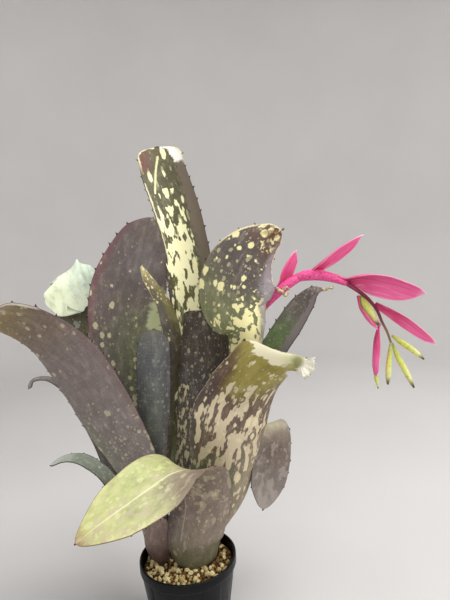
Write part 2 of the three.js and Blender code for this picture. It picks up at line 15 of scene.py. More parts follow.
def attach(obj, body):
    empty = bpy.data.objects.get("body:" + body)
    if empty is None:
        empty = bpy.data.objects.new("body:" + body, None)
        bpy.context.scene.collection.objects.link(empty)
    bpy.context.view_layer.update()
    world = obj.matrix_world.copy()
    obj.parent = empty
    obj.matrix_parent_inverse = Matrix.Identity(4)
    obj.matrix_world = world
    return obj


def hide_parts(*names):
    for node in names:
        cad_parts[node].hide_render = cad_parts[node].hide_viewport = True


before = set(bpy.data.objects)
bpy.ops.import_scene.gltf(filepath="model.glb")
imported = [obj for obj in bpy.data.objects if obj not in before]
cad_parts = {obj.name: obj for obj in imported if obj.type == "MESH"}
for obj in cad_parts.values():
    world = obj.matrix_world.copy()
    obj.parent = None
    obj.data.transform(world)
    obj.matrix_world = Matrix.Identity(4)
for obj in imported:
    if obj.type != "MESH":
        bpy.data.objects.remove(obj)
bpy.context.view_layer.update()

MM = 0.001

# Pot and soil
POT_HEIGHT = 80
RIM_RADIUS = 45
RIM_BAND = 8
BAND_STEP = 1
RIM_WALL = 2
FOOT_RADIUS = 33
POT_WALL = 1.6
POT_FLOOR = 2
PANEL_SPAN = 66
PANEL_TURN = -102
PANEL_DEPTH = 0.6
PANEL_FOOT = 7
PANEL_GAP = 1.5
POT_SEGMENTS = 288
DRAINS = 4
DRAIN_RADIUS = 4
DRAIN_PITCH = 17
SOIL_LEVEL = 71
SOIL_GAP = 0.45
SOIL_RINGS = 44
SOIL_SEGMENTS = 150

# Blades: thickness in the middle, near the margin and at the foot and tip, and the rows of places
MID_THICKNESS = 1.6
EDGE_THICKNESS = 0.9
RIM_THICKNESS = 0.35
ROW_STEP = 2.8
TIP_ROWS = 16

# Teeth: length, each row's distance from the point and share of its height, how far the point
# leans forward, and how much of it the columns from the margin inwards take
TOOTH_LENGTH = 2.3
TOOTH_OUTLINE = ((-2, 0), (-1.2, 0.16), (-0.5, 0.55), (0, 1), (0.45, 0.42), (1, 0))
TOOTH_LEAN = 0.45
TOOTH_HOLD = (1, 0.62, 0.3, 0.1)

# Waves near a blade's margin: length divided by a full turn, slant and height, and the flat ripple
WAVES = ((11, 1.3, 0.5), (5.3, -2.1, 0.3), (23, 0, 0.5))
RIPPLE_ACROSS, RIPPLE_ALONG, RIPPLE_HEIGHT = 2.3, 17, 0.12
CALM_FOOT = 60

# The two growing points, and the sheaths that stand on rings about them
ROSETTE = {"x": 6, "y": 13, "foot": 71, "core": 5, "pitch": 2.6}
OFFSET = {"x": -27, "y": 12, "foot": 83, "core": 3, "pitch": 2.1}
SHEATH_HEIGHT = 22
SHEATH_FLARE = 1.28


def linear(code):
    """A colour from its six hex digits, as the shaders take it."""
    parts = [int(code[i : i + 2], 16) / 255 for i in (0, 2, 4)]
    return tuple(((v + 0.055) / 1.055) ** 2.4 if v > 0.04045 else v / 12.92 for v in parts) + (1,)


# Curves


def traced(places, stops):
    """The value at each place, on straight lines between the stops."""
    return np.interp(places, stops[::2], stops[1::2])


def smooth_through(rows):
    """A smooth curve through rows of numbers, whose first three are a place, and its length."""
    rows = np.array(rows, float)
    steps = np.diff(rows, axis=0)
    gaps = np.linalg.norm(steps[:, :3], axis=1)
    knots = np.concatenate([[0], np.cumsum(gaps)])
    rates = steps / gaps[:, None]
    before, after = gaps[:-1, None], gaps[1:, None]
    middle = (rates[:-1] * after + rates[1:] * before) / (before + after)
    slopes = np.vstack([rates[:1], middle, rates[-1:]])

    def at(distance):
        i = np.clip(np.searchsorted(knots, distance, side="right") - 1, 0, len(gaps) - 1)
        span = gaps[i][:, None]
        f = np.clip((distance - knots[i])[:, None] / span, 0, 1)
        return (
            rows[i] * (2 * f**3 - 3 * f**2 + 1)
            + rows[i + 1] * (3 * f**2 - 2 * f**3)
            + slopes[i] * span * (f**3 - 2 * f**2 + f)
            + slopes[i + 1] * span * (f**3 - f**2)
        )

    return at, knots[-1]


def unit(vectors):
    return vectors / np.linalg.norm(vectors, axis=-1, keepdims=True)


def heading(azimuth, elevation):
    a, e = radians(azimuth), radians(elevation)
    return [cos(a) * cos(e), sin(a) * cos(e), sin(e)]


def directions(at, length, distance):
    """The unit direction of a curve at each distance along it."""
    ahead = at(np.minimum(distance + 0.5, length))[:, :3]
    behind = at(np.maximum(distance - 0.5, 0))[:, :3]
    return unit(ahead - behind)


def sheath(crown, ring, around, foot):
    """A leaf's first two stations: an upright sheath on its ring about the growing point."""
    radius = crown["core"] + ring * crown["pitch"]
    cup = foot / radius * 180 / pi
    turn = radians(around)
    return [
        (
            crown["x"] + radius * flare * cos(turn), crown["y"] + radius * flare * sin(turn),
            crown["foot"] + rise, foot * flare, cup, around + 180, 0,
        )
        for flare, rise in ((1, 0), (SHEATH_FLARE, SHEATH_HEIGHT))
    ]


# Meshes


def new_piece(name, points, faces, finish=None):
    """A smooth piece from places in millimetres."""
    mesh = bpy.data.meshes.new(name)
    mesh.from_pydata((np.asarray(points, float) * MM).tolist(), [], faces)
    if finish:
        mesh.materials.append(finish)
    mesh.polygons.foreach_set("use_smooth", [True] * len(mesh.polygons))
    mesh.update()
    piece = bpy.data.objects.new(name, mesh)
    bpy.context.collection.objects.link(piece)
    return piece


def stand_in(piece, slot, *nodes):
    """The piece rides on the one body and stands for these CAD nodes."""
    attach(piece, "root")
    if nodes:
        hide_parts(*nodes)


def settle(piece):
    """Turns the modifiers' result into the piece's own mesh."""
    ready = piece.evaluated_get(bpy.context.evaluated_depsgraph_get())
    mesh = bpy.data.meshes.new_from_object(ready)
    piece.modifiers.clear()
    piece.data = mesh


def keep_values(mesh, **values):
    """Stores a number for each vertex under each name."""
    for name, numbers in values.items():
        layer = mesh.attributes.new(name, "FLOAT", "POINT")
        layer.data.foreach_set("value", np.asarray(numbers, np.float32).ravel())


def keep_places(mesh, flat):
    """A UV map named Blade from one flat place for each vertex."""
    corners = np.empty(len(mesh.loops), np.int32)
    mesh.loops.foreach_get("vertex_index", corners)
    layer = mesh.uv_layers.new(name="Blade")
    layer.data.foreach_set("uv", np.asarray(flat, np.float32)[corners].ravel())


def tube(rings, start, end):
    """Places and faces of rings of places, closed at a place before and one after them."""
    sides, last = len(rings[0]), (len(rings) - 1) * len(rings[0])
    points = np.concatenate([*rings, [start], [end]])
    faces = []
    for k in range(sides):
        n = (k + 1) % sides
        faces += [(last + sides, n, k), (last + sides + 1, last + k, last + n)]
        faces += [(a + k, a + n, a + sides + n, a + sides + k) for a in range(0, last, sides)]
    return points, faces


def turned_piece(name, profile, segments, finish, shift):
    """A solid turned about the Z axis from radii and heights, moved by shift at each place."""
    turns = [tau * k / segments for k in range(segments)]
    rings = [[(r * cos(turn), r * sin(turn), z) for turn in turns] for r, z in profile if r > 0]
    points, faces = tube(rings, (0, 0, profile[0][1]), (0, 0, profile[-1][1]))
    return new_piece(name, [shift(Vector(place)) for place in points], faces, finish)


def stalk_piece(name, rows, slot, finish, nodes=(), sides=18, spacing=1.2, rib=0):
    """A round tapered stalk through rows of x, y, z and radius, with three low ribs."""
    at, length = smooth_through(rows)
    s = np.linspace(0, length, max(6, int(length / spacing)) + 1)
    here, along = at(s), directions(at, length, s)
    turn = np.arange(sides) * tau / sides
    side = np.array([0.0, 1.0, 0.0])
    rings = []
    for place, ahead, share in zip(here, along, s / length):
        side = unit(side - ahead * np.dot(side, ahead))
        radius = place[3] * (1 + rib * np.cos(3 * turn + share * 1.5))
        ring = place[:3] + np.outer(np.cos(turn) * radius, side)
        rings.append(ring + np.outer(np.sin(turn) * radius, np.cross(ahead, side)))
    piece = new_piece(name, *tube(rings, here[0, :3], here[-1, :3]), finish)
    keep_values(piece.data, along=np.append(np.repeat(s / length, sides), [0, 1]))
    stand_in(piece, slot, *nodes)


def sheet_faces(rows, columns):
    """Faces of two grids of places, the second below the first, joined along both side edges."""
    low, last = rows * columns, columns - 1
    faces = []
    for a in range(0, low - columns, columns):
        b = a + columns
        for k in range(last):
            faces.append((a + k, a + k + 1, b + k + 1, b + k))
            faces.append((low + a + k, low + b + k, low + b + k + 1, low + a + k + 1))
        faces.append((a + last, low + a + last, low + b + last, b + last))
        faces.append((low + a, a, b, low + b))
    return faces


PLAIN_BLADE = {
    "bare": 0, "teeth": 1, "tooth_spacing": 13, "tip": 8, "spine": 1, "thick": 1, "columns": 29,
    "wave": 0.6, "groove": 0, "trim_low": (0, 0), "trim_high": (0, 0), "bites": (),
}


def tooth_rows(blade, length, rng):
    """Distances of a blade's rows, with how far a tooth reaches and leans forward at each."""
    tip = blade["tip"]
    round_from = length - tip
    rows = {}
    at = blade["bare"]
    while at < round_from + tip * 0.35 and blade["teeth"]:
        size = rng.uniform(0.7, 1.2)
        for step, reach in TOOTH_OUTLINE:
            rows[round(at + step, 3)] = (reach * size, TOOTH_LEAN * reach * size)
        at += blade["tooth_spacing"] * rng.uniform(0.8, 1.2)
    plain = [(row, ROW_STEP * 0.45) for row in np.arange(0, round_from, ROW_STEP)]
    plain += [(round_from + tip * sin(pi / 2 * k / TIP_ROWS), 0.3) for k in range(TIP_ROWS)]
    for row, room in plain:
        if all(abs(row - other) > room for other in rows):
            rows[float(row)] = (0, 0)
    order = sorted(rows)
    return np.array(order), np.array([rows[row] for row in order])


def blade_piece(name, blade, finish, *nodes):
    """A closed curved blade with toothed edges, a wavy margin and a worn tip."""
    blade = {**PLAIN_BLADE, **blade}
    rng = random.Random(name)
    stations = sheath(*blade["stand"]) if "stand" in blade else []
    at, length = smooth_through([(*row[:5], *heading(*row[5:])) for row in stations + blade["stations"]])
    s, teeth = tooth_rows(blade, length, rng)
    here, along = at(s), directions(at, length, s)
    face = here[:, 5:8]
    face = unit(face - along * np.sum(face * along, axis=1, keepdims=True))
    along, across, face = along[:, None], np.cross(along, face)[:, None], face[:, None]
    s = s[:, None]
    beyond = np.clip((s - (length - blade["tip"])) / blade["tip"], 0, 1)
    rounded = np.sqrt(1 - beyond ** blade["blunt"])
    low, high = (traced(s / length, blade[side]) * rounded for side in ("trim_low", "trim_high"))
    width = here[:, 3:4] * rounded - low - high
    radius = here[:, 3:4] / np.radians(here[:, 4:5])

    # The middle surface: places across from -1 to 1, on an arc of each station's cup
    rows, columns = len(s), blade["columns"]
    t = np.sin(np.linspace(-pi / 2, pi / 2, columns))
    place = (t * width + (low - high)) / 2
    sine, cosine = np.sin(place / radius)[..., None], np.cos(place / radius)[..., None]
    outward = across * cosine + face * sine
    normal = face * cosine - across * sine
    bend = radius[..., None]
    centre = here[:, None, :3] + across * bend * sine + face * bend * (1 - cosine)

    phases = [rng.uniform(0, tau) for _ in range(5)]
    swell = sum(
        np.sin(s / long + phase + t * slant) * height for (long, slant, height), phase in zip(WAVES, phases)
    ) * np.abs(t) ** 2.5 * blade["wave"]
    ripple = np.sin(place / RIPPLE_ACROSS + phases[3]) * np.sin(s / RIPPLE_ALONG + phases[4])
    swell = (swell + ripple * RIPPLE_HEIGHT) * np.clip(s / CALM_FOOT, 0, 1)
    swell -= blade["groove"] * np.exp(-((place / 1.5) ** 2))
    centre = centre + normal * swell[..., None]
    share = (t + 1) / 2
    if "lift" in blade:
        middle, spread, rise = blade["lift"]
        centre[..., 2] += traced(share, rise) * np.exp(-(((s / length - middle) / spread) ** 2))
    for middle, spread, depth in blade["bites"]:
        bitten = np.clip(1 - np.abs(share - middle) / spread, 0, 1)
        late = np.clip(1 - (length - s) / (2.5 * depth), 0, 1)
        centre = centre - along * (depth * bitten * late)[..., None]

    # Thickness, and the teeth drawn out of the margin
    thick = blade["thick"] * (MID_THICKNESS + (EDGE_THICKNESS - MID_THICKNESS) * t**2)
    thick[[0, -1]] = RIM_THICKNESS
    hold = np.zeros(columns)
    for column, part in enumerate(TOOTH_HOLD):
        hold[[column, -1 - column]] = part
    tooth = TOOTH_LENGTH * blade["teeth"]
    reach, lean = (teeth[:, [k]] * hold * tooth for k in (0, 1))
    centre = centre + outward * (np.sign(t) * reach)[..., None] + along * lean[..., None]
    half = normal * (thick / 2 * (1 - 0.35 * np.clip(reach, 0, 1)))[..., None]
    end = np.array([length])
    point = at(end)[0, :3] + directions(at, length, end)[0] * blade["spine"]
    points = np.vstack([(centre + half).reshape(-1, 3), (centre - half).reshape(-1, 3), point])

    below = rows * columns
    ring = [*range(below - columns, below), *range(2 * below - 1, 2 * below - columns - 1, -1)]
    faces = sheet_faces(rows, columns)
    faces += [(k, below + k, below + k + 1, k + 1) for k in range(columns - 1)]
    faces += [(a, b, 2 * below) for a, b in zip(ring, ring[1:] + ring[:1])]
    piece = new_piece(name + "_blade", points, faces, finish)

    def both(values, last=0):
        return np.append(np.tile(np.broadcast_to(values, (rows, columns)).ravel(), 2), last)

    shares = both(s / length, 1)
    keep_values(
        piece.data, along=shares, across=both(t), margin=both((1 - np.abs(t)) * width / 2),
        inner=np.append(np.repeat([1.0, 0.0], below), 0.5), tooth=both(reach / max(tooth, 0.01), 1),
    )
    keep_places(piece.data, np.stack([both(place) / 10, shares * length / 10], axis=1))
    stand_in(piece, blade["slot"], *nodes)


# Leaves. "stand" is the growing point, the ring and angle about it, and the width of the leaf's foot.
# "bare" is how far up the teeth start, "tip" how long the rounded end is and "spine" how far its
# point runs on; a higher "blunt" makes it squarer. "teeth" and "wave" are their size, and "groove" is
# the depth along the midrib. A trim takes millimetres off one margin, by the share along. A lift is
# its middle and reach along the blade, and how far it raises places across it. A bite is the middle
# and reach across of a torn gap, and its depth. Stations are x, y, z, width, cup in degrees, and the
# azimuth and elevation of the side that the blade faces.
LEAVES = {
    "leaf_front_fold": {
        "slot": "leaf_yellow_green", "stand": (ROSETTE, 7, -90, 50), "bare": 118, "tip": 34, "blunt": 1.5,
        "teeth": 0.55, "tooth_spacing": 11, "groove": 0.5, "spine": 2, "stations": [
            (19, -24, 137, 52, 84, 92, 0), (20, -33, 160, 50, 60, 84, 12), (14, -44, 178, 52, 40, 66, 48),
            (-2, -56, 182, 56, 30, -10, 76), (-18, -68, 177, 54, 24, -52, 62),
            (-37, -80, 169, 48, 22, -62, 60), (-54, -89, 161, 38, 24, -64, 60),
            (-69, -95, 152, 26, 26, -66, 60)]},
    "leaf_spout": {
        "slot": "leaf_olive", "stand": (ROSETTE, 4, -67, 36), "bare": 95, "blunt": 3, "teeth": 0.7,
        "spine": 1.5,
        "trim_high": (0.64, 0, 0.7, 4, 0.77, 4.5, 0.815, 4, 0.845, 0, 0.865, 1, 0.885, 5, 0.905, 4.5,
            0.93, 1, 0.95, 0), "trim_low": (0.86, 0, 0.885, -2, 0.915, -3.5, 0.94, -2, 0.955, 0),
        "lift": (0.91, 0.028, (0, 0, 0.6, 0, 0.8, -2, 1, -4.2)), "stations": [
            (24, -5, 112, 54, 106, 106, 0), (35, -9, 137, 60, 94, 102, 0), (43, -18, 175, 72, 92, 104, 0),
            (51, -25, 206, 82, 92, 110, 2), (58, -25, 224, 84, 92, 112, 8),
            (71, -33, 246, 80, 98, 109, 20), (82, -39, 257, 68, 108, 103, 26),
            (93, -42, 261, 46, 112, 100, 38), (104, -42, 259, 24, 112, 98, 50),
            (114, -40, 253, 27, 100, 98, 50)]},
    "leaf_dark": {
        "slot": "leaf_dark", "stand": (ROSETTE, 1, -105, 20), "bare": 110, "blunt": 3.4, "teeth": 0.5,
        "bites": ((0.45, 0.12, 4), (0.9, 0.2, 4)), "stations": [
            (8, 5, 137, 36, 90, 88, 0), (14, 3, 182, 42, 78, 88, 0), (21, 1, 228, 48, 66, 88, 0),
            (29, 0, 273, 50, 58, 88, 0), (33, 0, 309, 48, 52, 88, 0)]},
    "leaf_spotted": {
        "slot": "leaf_olive", "stand": (ROSETTE, 2, -62, 26), "bare": 150, "blunt": 1.7, "teeth": 0.9,
        "spine": 4,
        "trim_low": (0.56, 0, 0.61, 3, 0.66, 2.5, 0.7, -1, 0.76, -5.5, 0.82, -6.5, 0.88, -7, 0.93, -4.5,
            0.97, -1, 1, 0), "bites": ((0.62, 0.12, 3.5), (0.9, 0.1, 3), (0.3, 0.1, 2.5)), "stations": [
            (27, -3, 140, 38, 110, 112, 0), (40, -8, 184, 38, 120, 108, 0),
            (54, -13, 224, 36, 140, 104, 0), (65, -17, 268, 36, 120, 102, 0),
            (66, -20, 291, 42, 90, 100, 0), (60, -20, 306, 60, 66, 99, 0), (58, -20, 325, 66, 58, 98, 2),
            (65, -18, 346, 60, 50, 98, 4), (78, -14, 361, 44, 44, 98, 6), (90, -10, 369, 28, 40, 100, 8),
            (101, -8, 375, 18, 36, 100, 8)]},
    "leaf_tall": {
        "slot": "leaf_olive", "stand": (ROSETTE, 0, 92, 14), "bare": 150, "tip": 16, "blunt": 3.2,
        "spine": 1.5,
        "trim_low": (0.06, 0, 0.13, -9, 0.22, -8, 0.26, -5, 0.31, 0, 0.5, 0, 0.55, -3.5, 0.66, -5,
            0.7, -4.5, 0.73, 0), "bites": ((0.5, 0.08, 3), (0.22, 0.1, 2.5), (0.72, 0.05, 2)),
        "stations": [
            (13, 24, 140, 34, 100, -90, 0), (11, 35, 190, 56, 50, -90, 0), (15, 39, 239, 56, 44, -88, 0),
            (20, 38, 295, 50, 68, -86, 0), (16, 33, 352, 45, 74, -84, 2), (4, 34, 410, 46, 70, -82, 6),
            (-6, 40, 444, 46, 66, -82, 10), (-11, 46, 468, 44, 60, -80, 14)]},
    "leaf_right": {
        "slot": "leaf_green", "stand": (ROSETTE, 3, 32, 24), "bare": 130, "blunt": 1.8, "stations": [
            (46, 33, 140, 28, 110, -150, 0), (60, 39, 182, 32, 104, -140, 6),
            (79, 43, 227, 33, 100, -130, 12), (100, 45, 264, 33, 100, -122, 18),
            (116, 46, 287, 31, 90, -116, 24), (129, 47, 305, 25, 80, -114, 26),
            (139, 47, 316, 14, 70, -110, 40), (149, 46, 319, 6, 60, -100, 70)]},
    "leaf_hanging": {
        "slot": "leaf_grey_purple", "stand": (ROSETTE, 5, 46, 26), "bare": 105, "tip": 30, "blunt": 1.7,
        "teeth": 0.6, "spine": 3, "trim_high": (0.56, 0, 0.63, -3, 0.7, -5, 0.8, -6, 0.9, -3.5, 0.97, 0),
        "stations": [
            (60, 31, 137, 26, 75, 185, 0), (69, 34.5, 156, 27, 60, 160, 6),
            (79, 32, 173, 28, 44, 130, 10), (82, 29.5, 184, 28, 34, 120, 6),
            (83.7, 26.4, 190, 29, 30, 120, 60), (87.2, 20.3, 190, 31, 28, -60, 60),
            (89, 17.5, 184, 33, 26, -60, 8), (87.5, 15.5, 168, 36, 26, -62, 6),
            (81.5, 13, 142, 36, 28, -66, 4), (73.5, 13, 112, 30, 30, -68, 2)]},
    "leaf_broad": {
        "slot": "leaf_grey_purple", "stand": (OFFSET, 2, 98, 18), "bare": 105, "tip": 24, "blunt": 1.7,
        "spine": 2, "stations": [
            (-41, 32, 140, 36, 84, -80, 0), (-46, 38, 189, 50, 60, -78, 0),
            (-50, 42, 236, 64, 50, -76, 0), (-55, 47, 288, 74, 44, -74, 2),
            (-49, 51, 329, 77, 42, -74, 4), (-39, 55, 361, 63, 40, -76, 8),
            (-30, 60, 385, 45, 36, -78, 12), (-22, 66, 402, 28, 36, -78, 12)]},
    "leaf_left_arch": {
        "slot": "leaf_grey_purple", "stand": (OFFSET, 3, -125, 20), "bare": 88, "tip": 18, "blunt": 1.8,
        "spine": 2, "stations": [
            (-35, -5, 140, 42, 66, 66, 4), (-47, -14, 180, 52, 50, 76, 12),
            (-59, -22, 214, 56, 40, 82, 20), (-71, -29, 245, 57, 34, 84, 26),
            (-85, -35, 274, 56, 30, 84, 28), (-101, -39, 294, 50, 30, 84, 30),
            (-123, -43, 309, 40, 30, 84, 32), (-144, -46, 312, 27, 30, 84, 34)]},
    "leaf_pale": {
        "slot": "leaf_mint", "stand": (OFFSET, 4, 128, 26), "bare": 110, "tip": 9, "blunt": 3.4,
        "teeth": 0.4,
        "trim_low": (0.82, 0, 0.85, 3, 0.874, 7, 0.89, 1, 0.905, -4.5, 0.945, -4.5, 0.975, 0),
        "lift": (0.874, 0.028, (0, -4, 0.15, 0, 0.35, 1.5, 0.52, 4, 0.6, 7.5, 0.66, 12, 0.71, 7, 0.8, 4.5,
            1, 1)), "bites": ((0.24, 0.06, 9), (0.9, 0.5, 6)), "stations": [
            (-53, 44, 140, 26, 50, -60, 0), (-70, 50, 188, 34, 40, -64, 4),
            (-86, 57, 234, 44, 34, -66, 6), (-97.5, 61.5, 280, 48, 24, -70, 4),
            (-104, 63, 316, 49, 16, -71, 6), (-111, 63, 341, 46, 12, -72, 6),
            (-111.9, 59.2, 348, 45, 12, -48, -50), (-109.5, 51.6, 348.8, 45, 12, 75, -61),
            (-106, 47.8, 342.6, 49, 12, 108, -6), (-100.2, 47.8, 325.5, 55, 14, 108, -6),
            (-95.2, 47.8, 310, 52, 16, 108, -6)]},
    "leaf_grey": {
        "slot": "leaf_grey_purple", "stand": (OFFSET, 1, -92, 16), "bare": 100, "tip": 17, "blunt": 2.3,
        "teeth": 0.8, "tooth_spacing": 9, "bites": ((0.68, 0.12, 3.5), (0.3, 0.1, 2)), "stations": [
            (-28, 2, 134, 22, 76, 88, 0), (-25, -2, 182, 25, 60, 88, 0), (-23, -4, 222, 31, 50, 88, 0),
            (-21, -4, 257, 32, 46, 88, 0), (-18, -2, 293, 28, 44, 86, 0)]},
    "leaf_curled": {
        "slot": "leaf_olive", "stand": (OFFSET, 0, 0, 11), "bare": 110, "tip": 14, "blunt": 2,
        "teeth": 0.6, "trim_high": (0.8, 0, 0.86, 4, 0.92, 3, 0.96, 1, 1, 0), "wave": 1.6, "stations": [
            (-18, 14, 140, 22, 120, 176, 0), (-10, 13, 190, 26, 110, 172, 0),
            (-5, 12, 232, 28, 104, 168, 0), (2, 11, 268, 32, 100, 160, 0),
            (0, 9.5, 298, 32, 104, 158, 12), (-10, 9, 320, 26, 106, 158, 28),
            (-20, 6, 338, 18, 100, 166, 20), (-27, 3, 351, 10, 60, 178, 10)]},
    "leaf_low": {
        "slot": "leaf_green", "stand": (OFFSET, 5, 214, 14), "bare": 60, "tip": 18, "blunt": 1.6,
        "teeth": 0.6, "stations": [
            (-60, 8, 130, 16, 60, -20, 56), (-82, 17, 155, 18, 50, -30, 66),
            (-104, 23, 166, 17, 46, -50, 72), (-120, 25, 166, 13, 44, -60, 76),
            (-133, 25, 161, 8, 40, -60, 76)]},
    "leaf_dry_tip": {
        "slot": "leaf_dry", "stand": (OFFSET, 5, 160, 9), "tip": 12, "blunt": 1.6, "teeth": 0,
        "columns": 17, "stations": [
            (-66, 28, 122, 14, 70, -30, 24), (-86, 46, 158, 15, 70, -30, 30),
            (-108, 61, 198, 14, 70, -40, 40), (-132, 72, 226, 11, 80, -50, 50),
            (-152, 76, 236, 8, 90, -60, 60), (-166, 77, 234, 7, 90, -60, 60),
            (-172, 78, 226, 6, 80, -80, 20)]},
}

# Bracts: how many millimetres fuller each side is than its stations, and the stations
BRACTS = {
    "bract_lowest": (1.6, [
        (93.4, 10.9, 319.7, 9.2, 143, -61, -31), (102, 12.5, 329, 14, 110, -60, -20),
        (105.5, 11, 339, 14, 100, -60, -20), (110.5, 8, 348.5, 11, 100, -60, -20),
        (115.5, 6, 357, 4, 80, -60, -20)]),
    "bract_upper": (1.1, [
        (110.5, 7.9, 333.4, 6, 92, -51, -55), (115.9, 7.2, 335.8, 8.6, 131, -60, -60),
        (121.5, 6.7, 337.2, 9.4, 143, -76, -64), (127, 6.2, 337.6, 9.6, 146, -91, -65),
        (138, 2, 345, 16, 110, -60, -55), (151, -1, 354, 18, 90, -60, -50),
        (163, -5, 361.5, 13, 80, -60, -50), (173, -7, 367, 3, 60, -60, -50)]),
    "bract_long": (1.2, [
        (136.8, 5.1, 336.5, 6, 92, -115, -58), (144.3, 3.8, 334.8, 8.6, 131, -126, -56),
        (151.7, 1.9, 332.3, 9.4, 143, -136, -52), (158, 0.3, 329.1, 9.6, 146, -139, -46),
        (171, -4.5, 329.5, 24, 120, -90, -50), (188, -10, 325.5, 30, 104, -88, -46),
        (206, -15, 319, 24, 100, -86, -46), (222, -18, 313, 6, 80, -86, -46)]),
    "bract_cupped": (2, [
        (166.3, -6.3, 313.4, 7, 130, -20, 46), (168.2, -6.1, 304, 10, 120, -40, 36),
        (171.4, -8, 296, 13, 120, -40, 40), (176, -9.8, 289, 12, 110, -40, 40),
        (181.5, -12, 283.5, 4, 80, -40, 40)]),
    "bract_end": (0.4, [
        (183.4, -3.3, 305.6, 7.5, 128, -138, -23), (198, -7.5, 296.5, 13, 110, -100, -50),
        (211, -9, 286.5, 13, 100, -100, -45), (223, -11, 275.5, 9, 90, -100, -40),
        (233, -12, 267, 3, 60, -100, -40)]),
    "bract_hanging": (1.8, [
        (185.3, -6.1, 287.9, 5, 118, -20, 21), (180.2, -9, 276, 12, 120, 0, 0),
        (177.8, -10.5, 262, 11, 120, 0, 0), (176.8, -11.5, 250, 9, 110, 0, 0),
        (178.4, -12, 238, 3, 90, 0, 0)]),
}

# Flower stalk and buds: x, y, z and radius
STALK = [
    (6, 13, 71, 2.4), (8, 12.5, 100, 2.6), (16, 11.5, 145, 2.6), (30, 11, 195, 2.5), (48, 10.5, 240, 2.4),
    (70, 10, 284, 2.4), (87, 9, 309, 2.5), (103, 7, 324.5, 2.5), (121, 5, 333.2, 2.4),
    (131, 4, 333.8, 2.4), (143, 2, 331.6, 2.5), (156, -1.5, 326.3, 2.3), (167, -4, 318.5, 1.9),
    (177, -5, 309.5, 1.6), (184, -6, 299, 1.4), (188, -7, 288, 1.2), (191.6, -8, 279.6, 1.1),
    (194.3, -9, 270, 1)]
BUDS = {
    "bud_first": [
        (169, -7.2, 313.6, 0.8), (171.5, -9, 307, 3.2), (175, -11, 300, 3.8), (179, -12.5, 293, 2.6),
        (182, -13.5, 287, 1)],
    "bud_right": [
        (195, -9.6, 276.4, 0.8), (201, -10, 271.5, 2.4), (209, -10.5, 265.5, 2.8),
        (216, -11.5, 259.5, 2.4), (222, -12, 254, 0.8)],
    "bud_middle": [
        (195.2, -9.5, 269.7, 0.8), (199, -10, 258, 2.3), (203, -11, 249, 2.7), (208, -12, 238, 2.4),
        (212, -13, 229, 0.8)],
    "bud_left": [
        (193.4, -9.3, 269.3, 0.8), (192, -10, 257, 2.2), (190.5, -11, 248, 2.6), (189.5, -12, 240, 2.2),
        (189, -12, 233, 0.8)],
}


# Shader nodes. Each function works in the tree of the sockets that it is given.


def join(value, socket):
    """Sets a socket to a value, or joins it to the output that makes the value."""
    if isinstance(value, bpy.types.NodeSocket):
        socket.id_data.links.new(value, socket)
    else:
        socket.default_value = value


def add(beside, kind, inputs, output=0, **settings):
    """A node beside a tree or socket, its settings, and its inputs by name or number. Gives an output."""
    node = beside.id_data.nodes.new(kind)
    for name, value in settings.items():
        setattr(node, name, value)
    for name, value in inputs.items():
        join(value, node.inputs[name])
    return node.outputs[output]


def maths(operation):
    """A function that puts one sum of numbers and outputs into their tree."""

    def sum_of(*values):
        beside = next(value for value in values if isinstance(value, bpy.types.NodeSocket))
        return add(beside, "ShaderNodeMath", dict(enumerate(values)), operation=operation)

    return sum_of


times, plus, minus, divided = map(maths, ("MULTIPLY", "ADD", "SUBTRACT", "DIVIDE"))
times_plus, power, root, size_of, is_below = map(
    maths, ("MULTIPLY_ADD", "POWER", "SQRT", "ABSOLUTE", "LESS_THAN")
)


def vectors(operation, first, second=None):
    """Vector arithmetic. The second value of a scaling is a number."""
    inputs = {0: first}
    if second is not None:
        inputs["Scale" if operation == "SCALE" else 1] = second
    output = "Value" if operation in ("DOT_PRODUCT", "LENGTH") else "Vector"
    return add(first, "ShaderNodeVectorMath", inputs, output, operation=operation)


def eased(value, low, high, to_low=0, to_high=1):
    """A smooth step from one number to another as the value passes between two others."""
    inputs = dict(enumerate((value, low, high, to_low, to_high)))
    return add(value, "ShaderNodeMapRange", inputs, interpolation_type="SMOOTHSTEP")


def blend(amount, under, over):
    return add(amount, "ShaderNodeMix", {0: amount, 6: under, 7: over}, 2, data_type="RGBA")


def ramp(value, stops):
    """A colour ramp through stops of hex colours or grey numbers."""
    shown = add(value, "ShaderNodeValToRGB", {0: value})
    elements = shown.node.color_ramp.elements
    for i, (position, shade) in enumerate(zip(stops[::2], stops[1::2])):
        element = elements[i] if i < len(elements) else elements.new(position)
        element.position = position
        element.color = linear(shade) if isinstance(shade, str) else (shade, shade, shade, 1)
    return shown


def cloud(place, scale, detail=2, roughness=0.5, stretch=None, distortion=0):
    """Soft noise, on a place that is first stretched."""
    if stretch:
        place = vectors("MULTIPLY", place, stretch)
    inputs = {"Vector": place, "Scale": scale, "Detail": detail, "Roughness": roughness}
    return add(place, "ShaderNodeTexNoise", {**inputs, "Distortion": distortion})


def effect(name, output="Mask", **inputs):
    """Makes the function below it a shader node group with these inputs and one number for output."""

    def made(build):
        tree = bpy.data.node_groups.new(name, "ShaderNodeTree")
        for label, default in inputs.items():
            kind = "NodeSocketVector" if default is None else "NodeSocketFloat"
            label = label.replace("_", " ")
            socket = tree.interface.new_socket(name=label, in_out="INPUT", socket_type=kind)
            if default is not None:
                socket.default_value = default
        tree.interface.new_socket(name=output, in_out="OUTPUT", socket_type="NodeSocketFloat")
        entry = tree.nodes.new("NodeGroupInput").outputs
        join(build(entry), tree.nodes.new("NodeGroupOutput").inputs[output])
        return tree

    return made


def put(group, place, **inputs):
    """The output of a node group placed beside its place."""
    named = {name.replace("_", " "): value for name, value in inputs.items()}
    return add(place, "ShaderNodeGroup", {"Place": place, **named}, node_tree=group)


# Effects. A place on a blade is flat, in centimetres: across, then along.


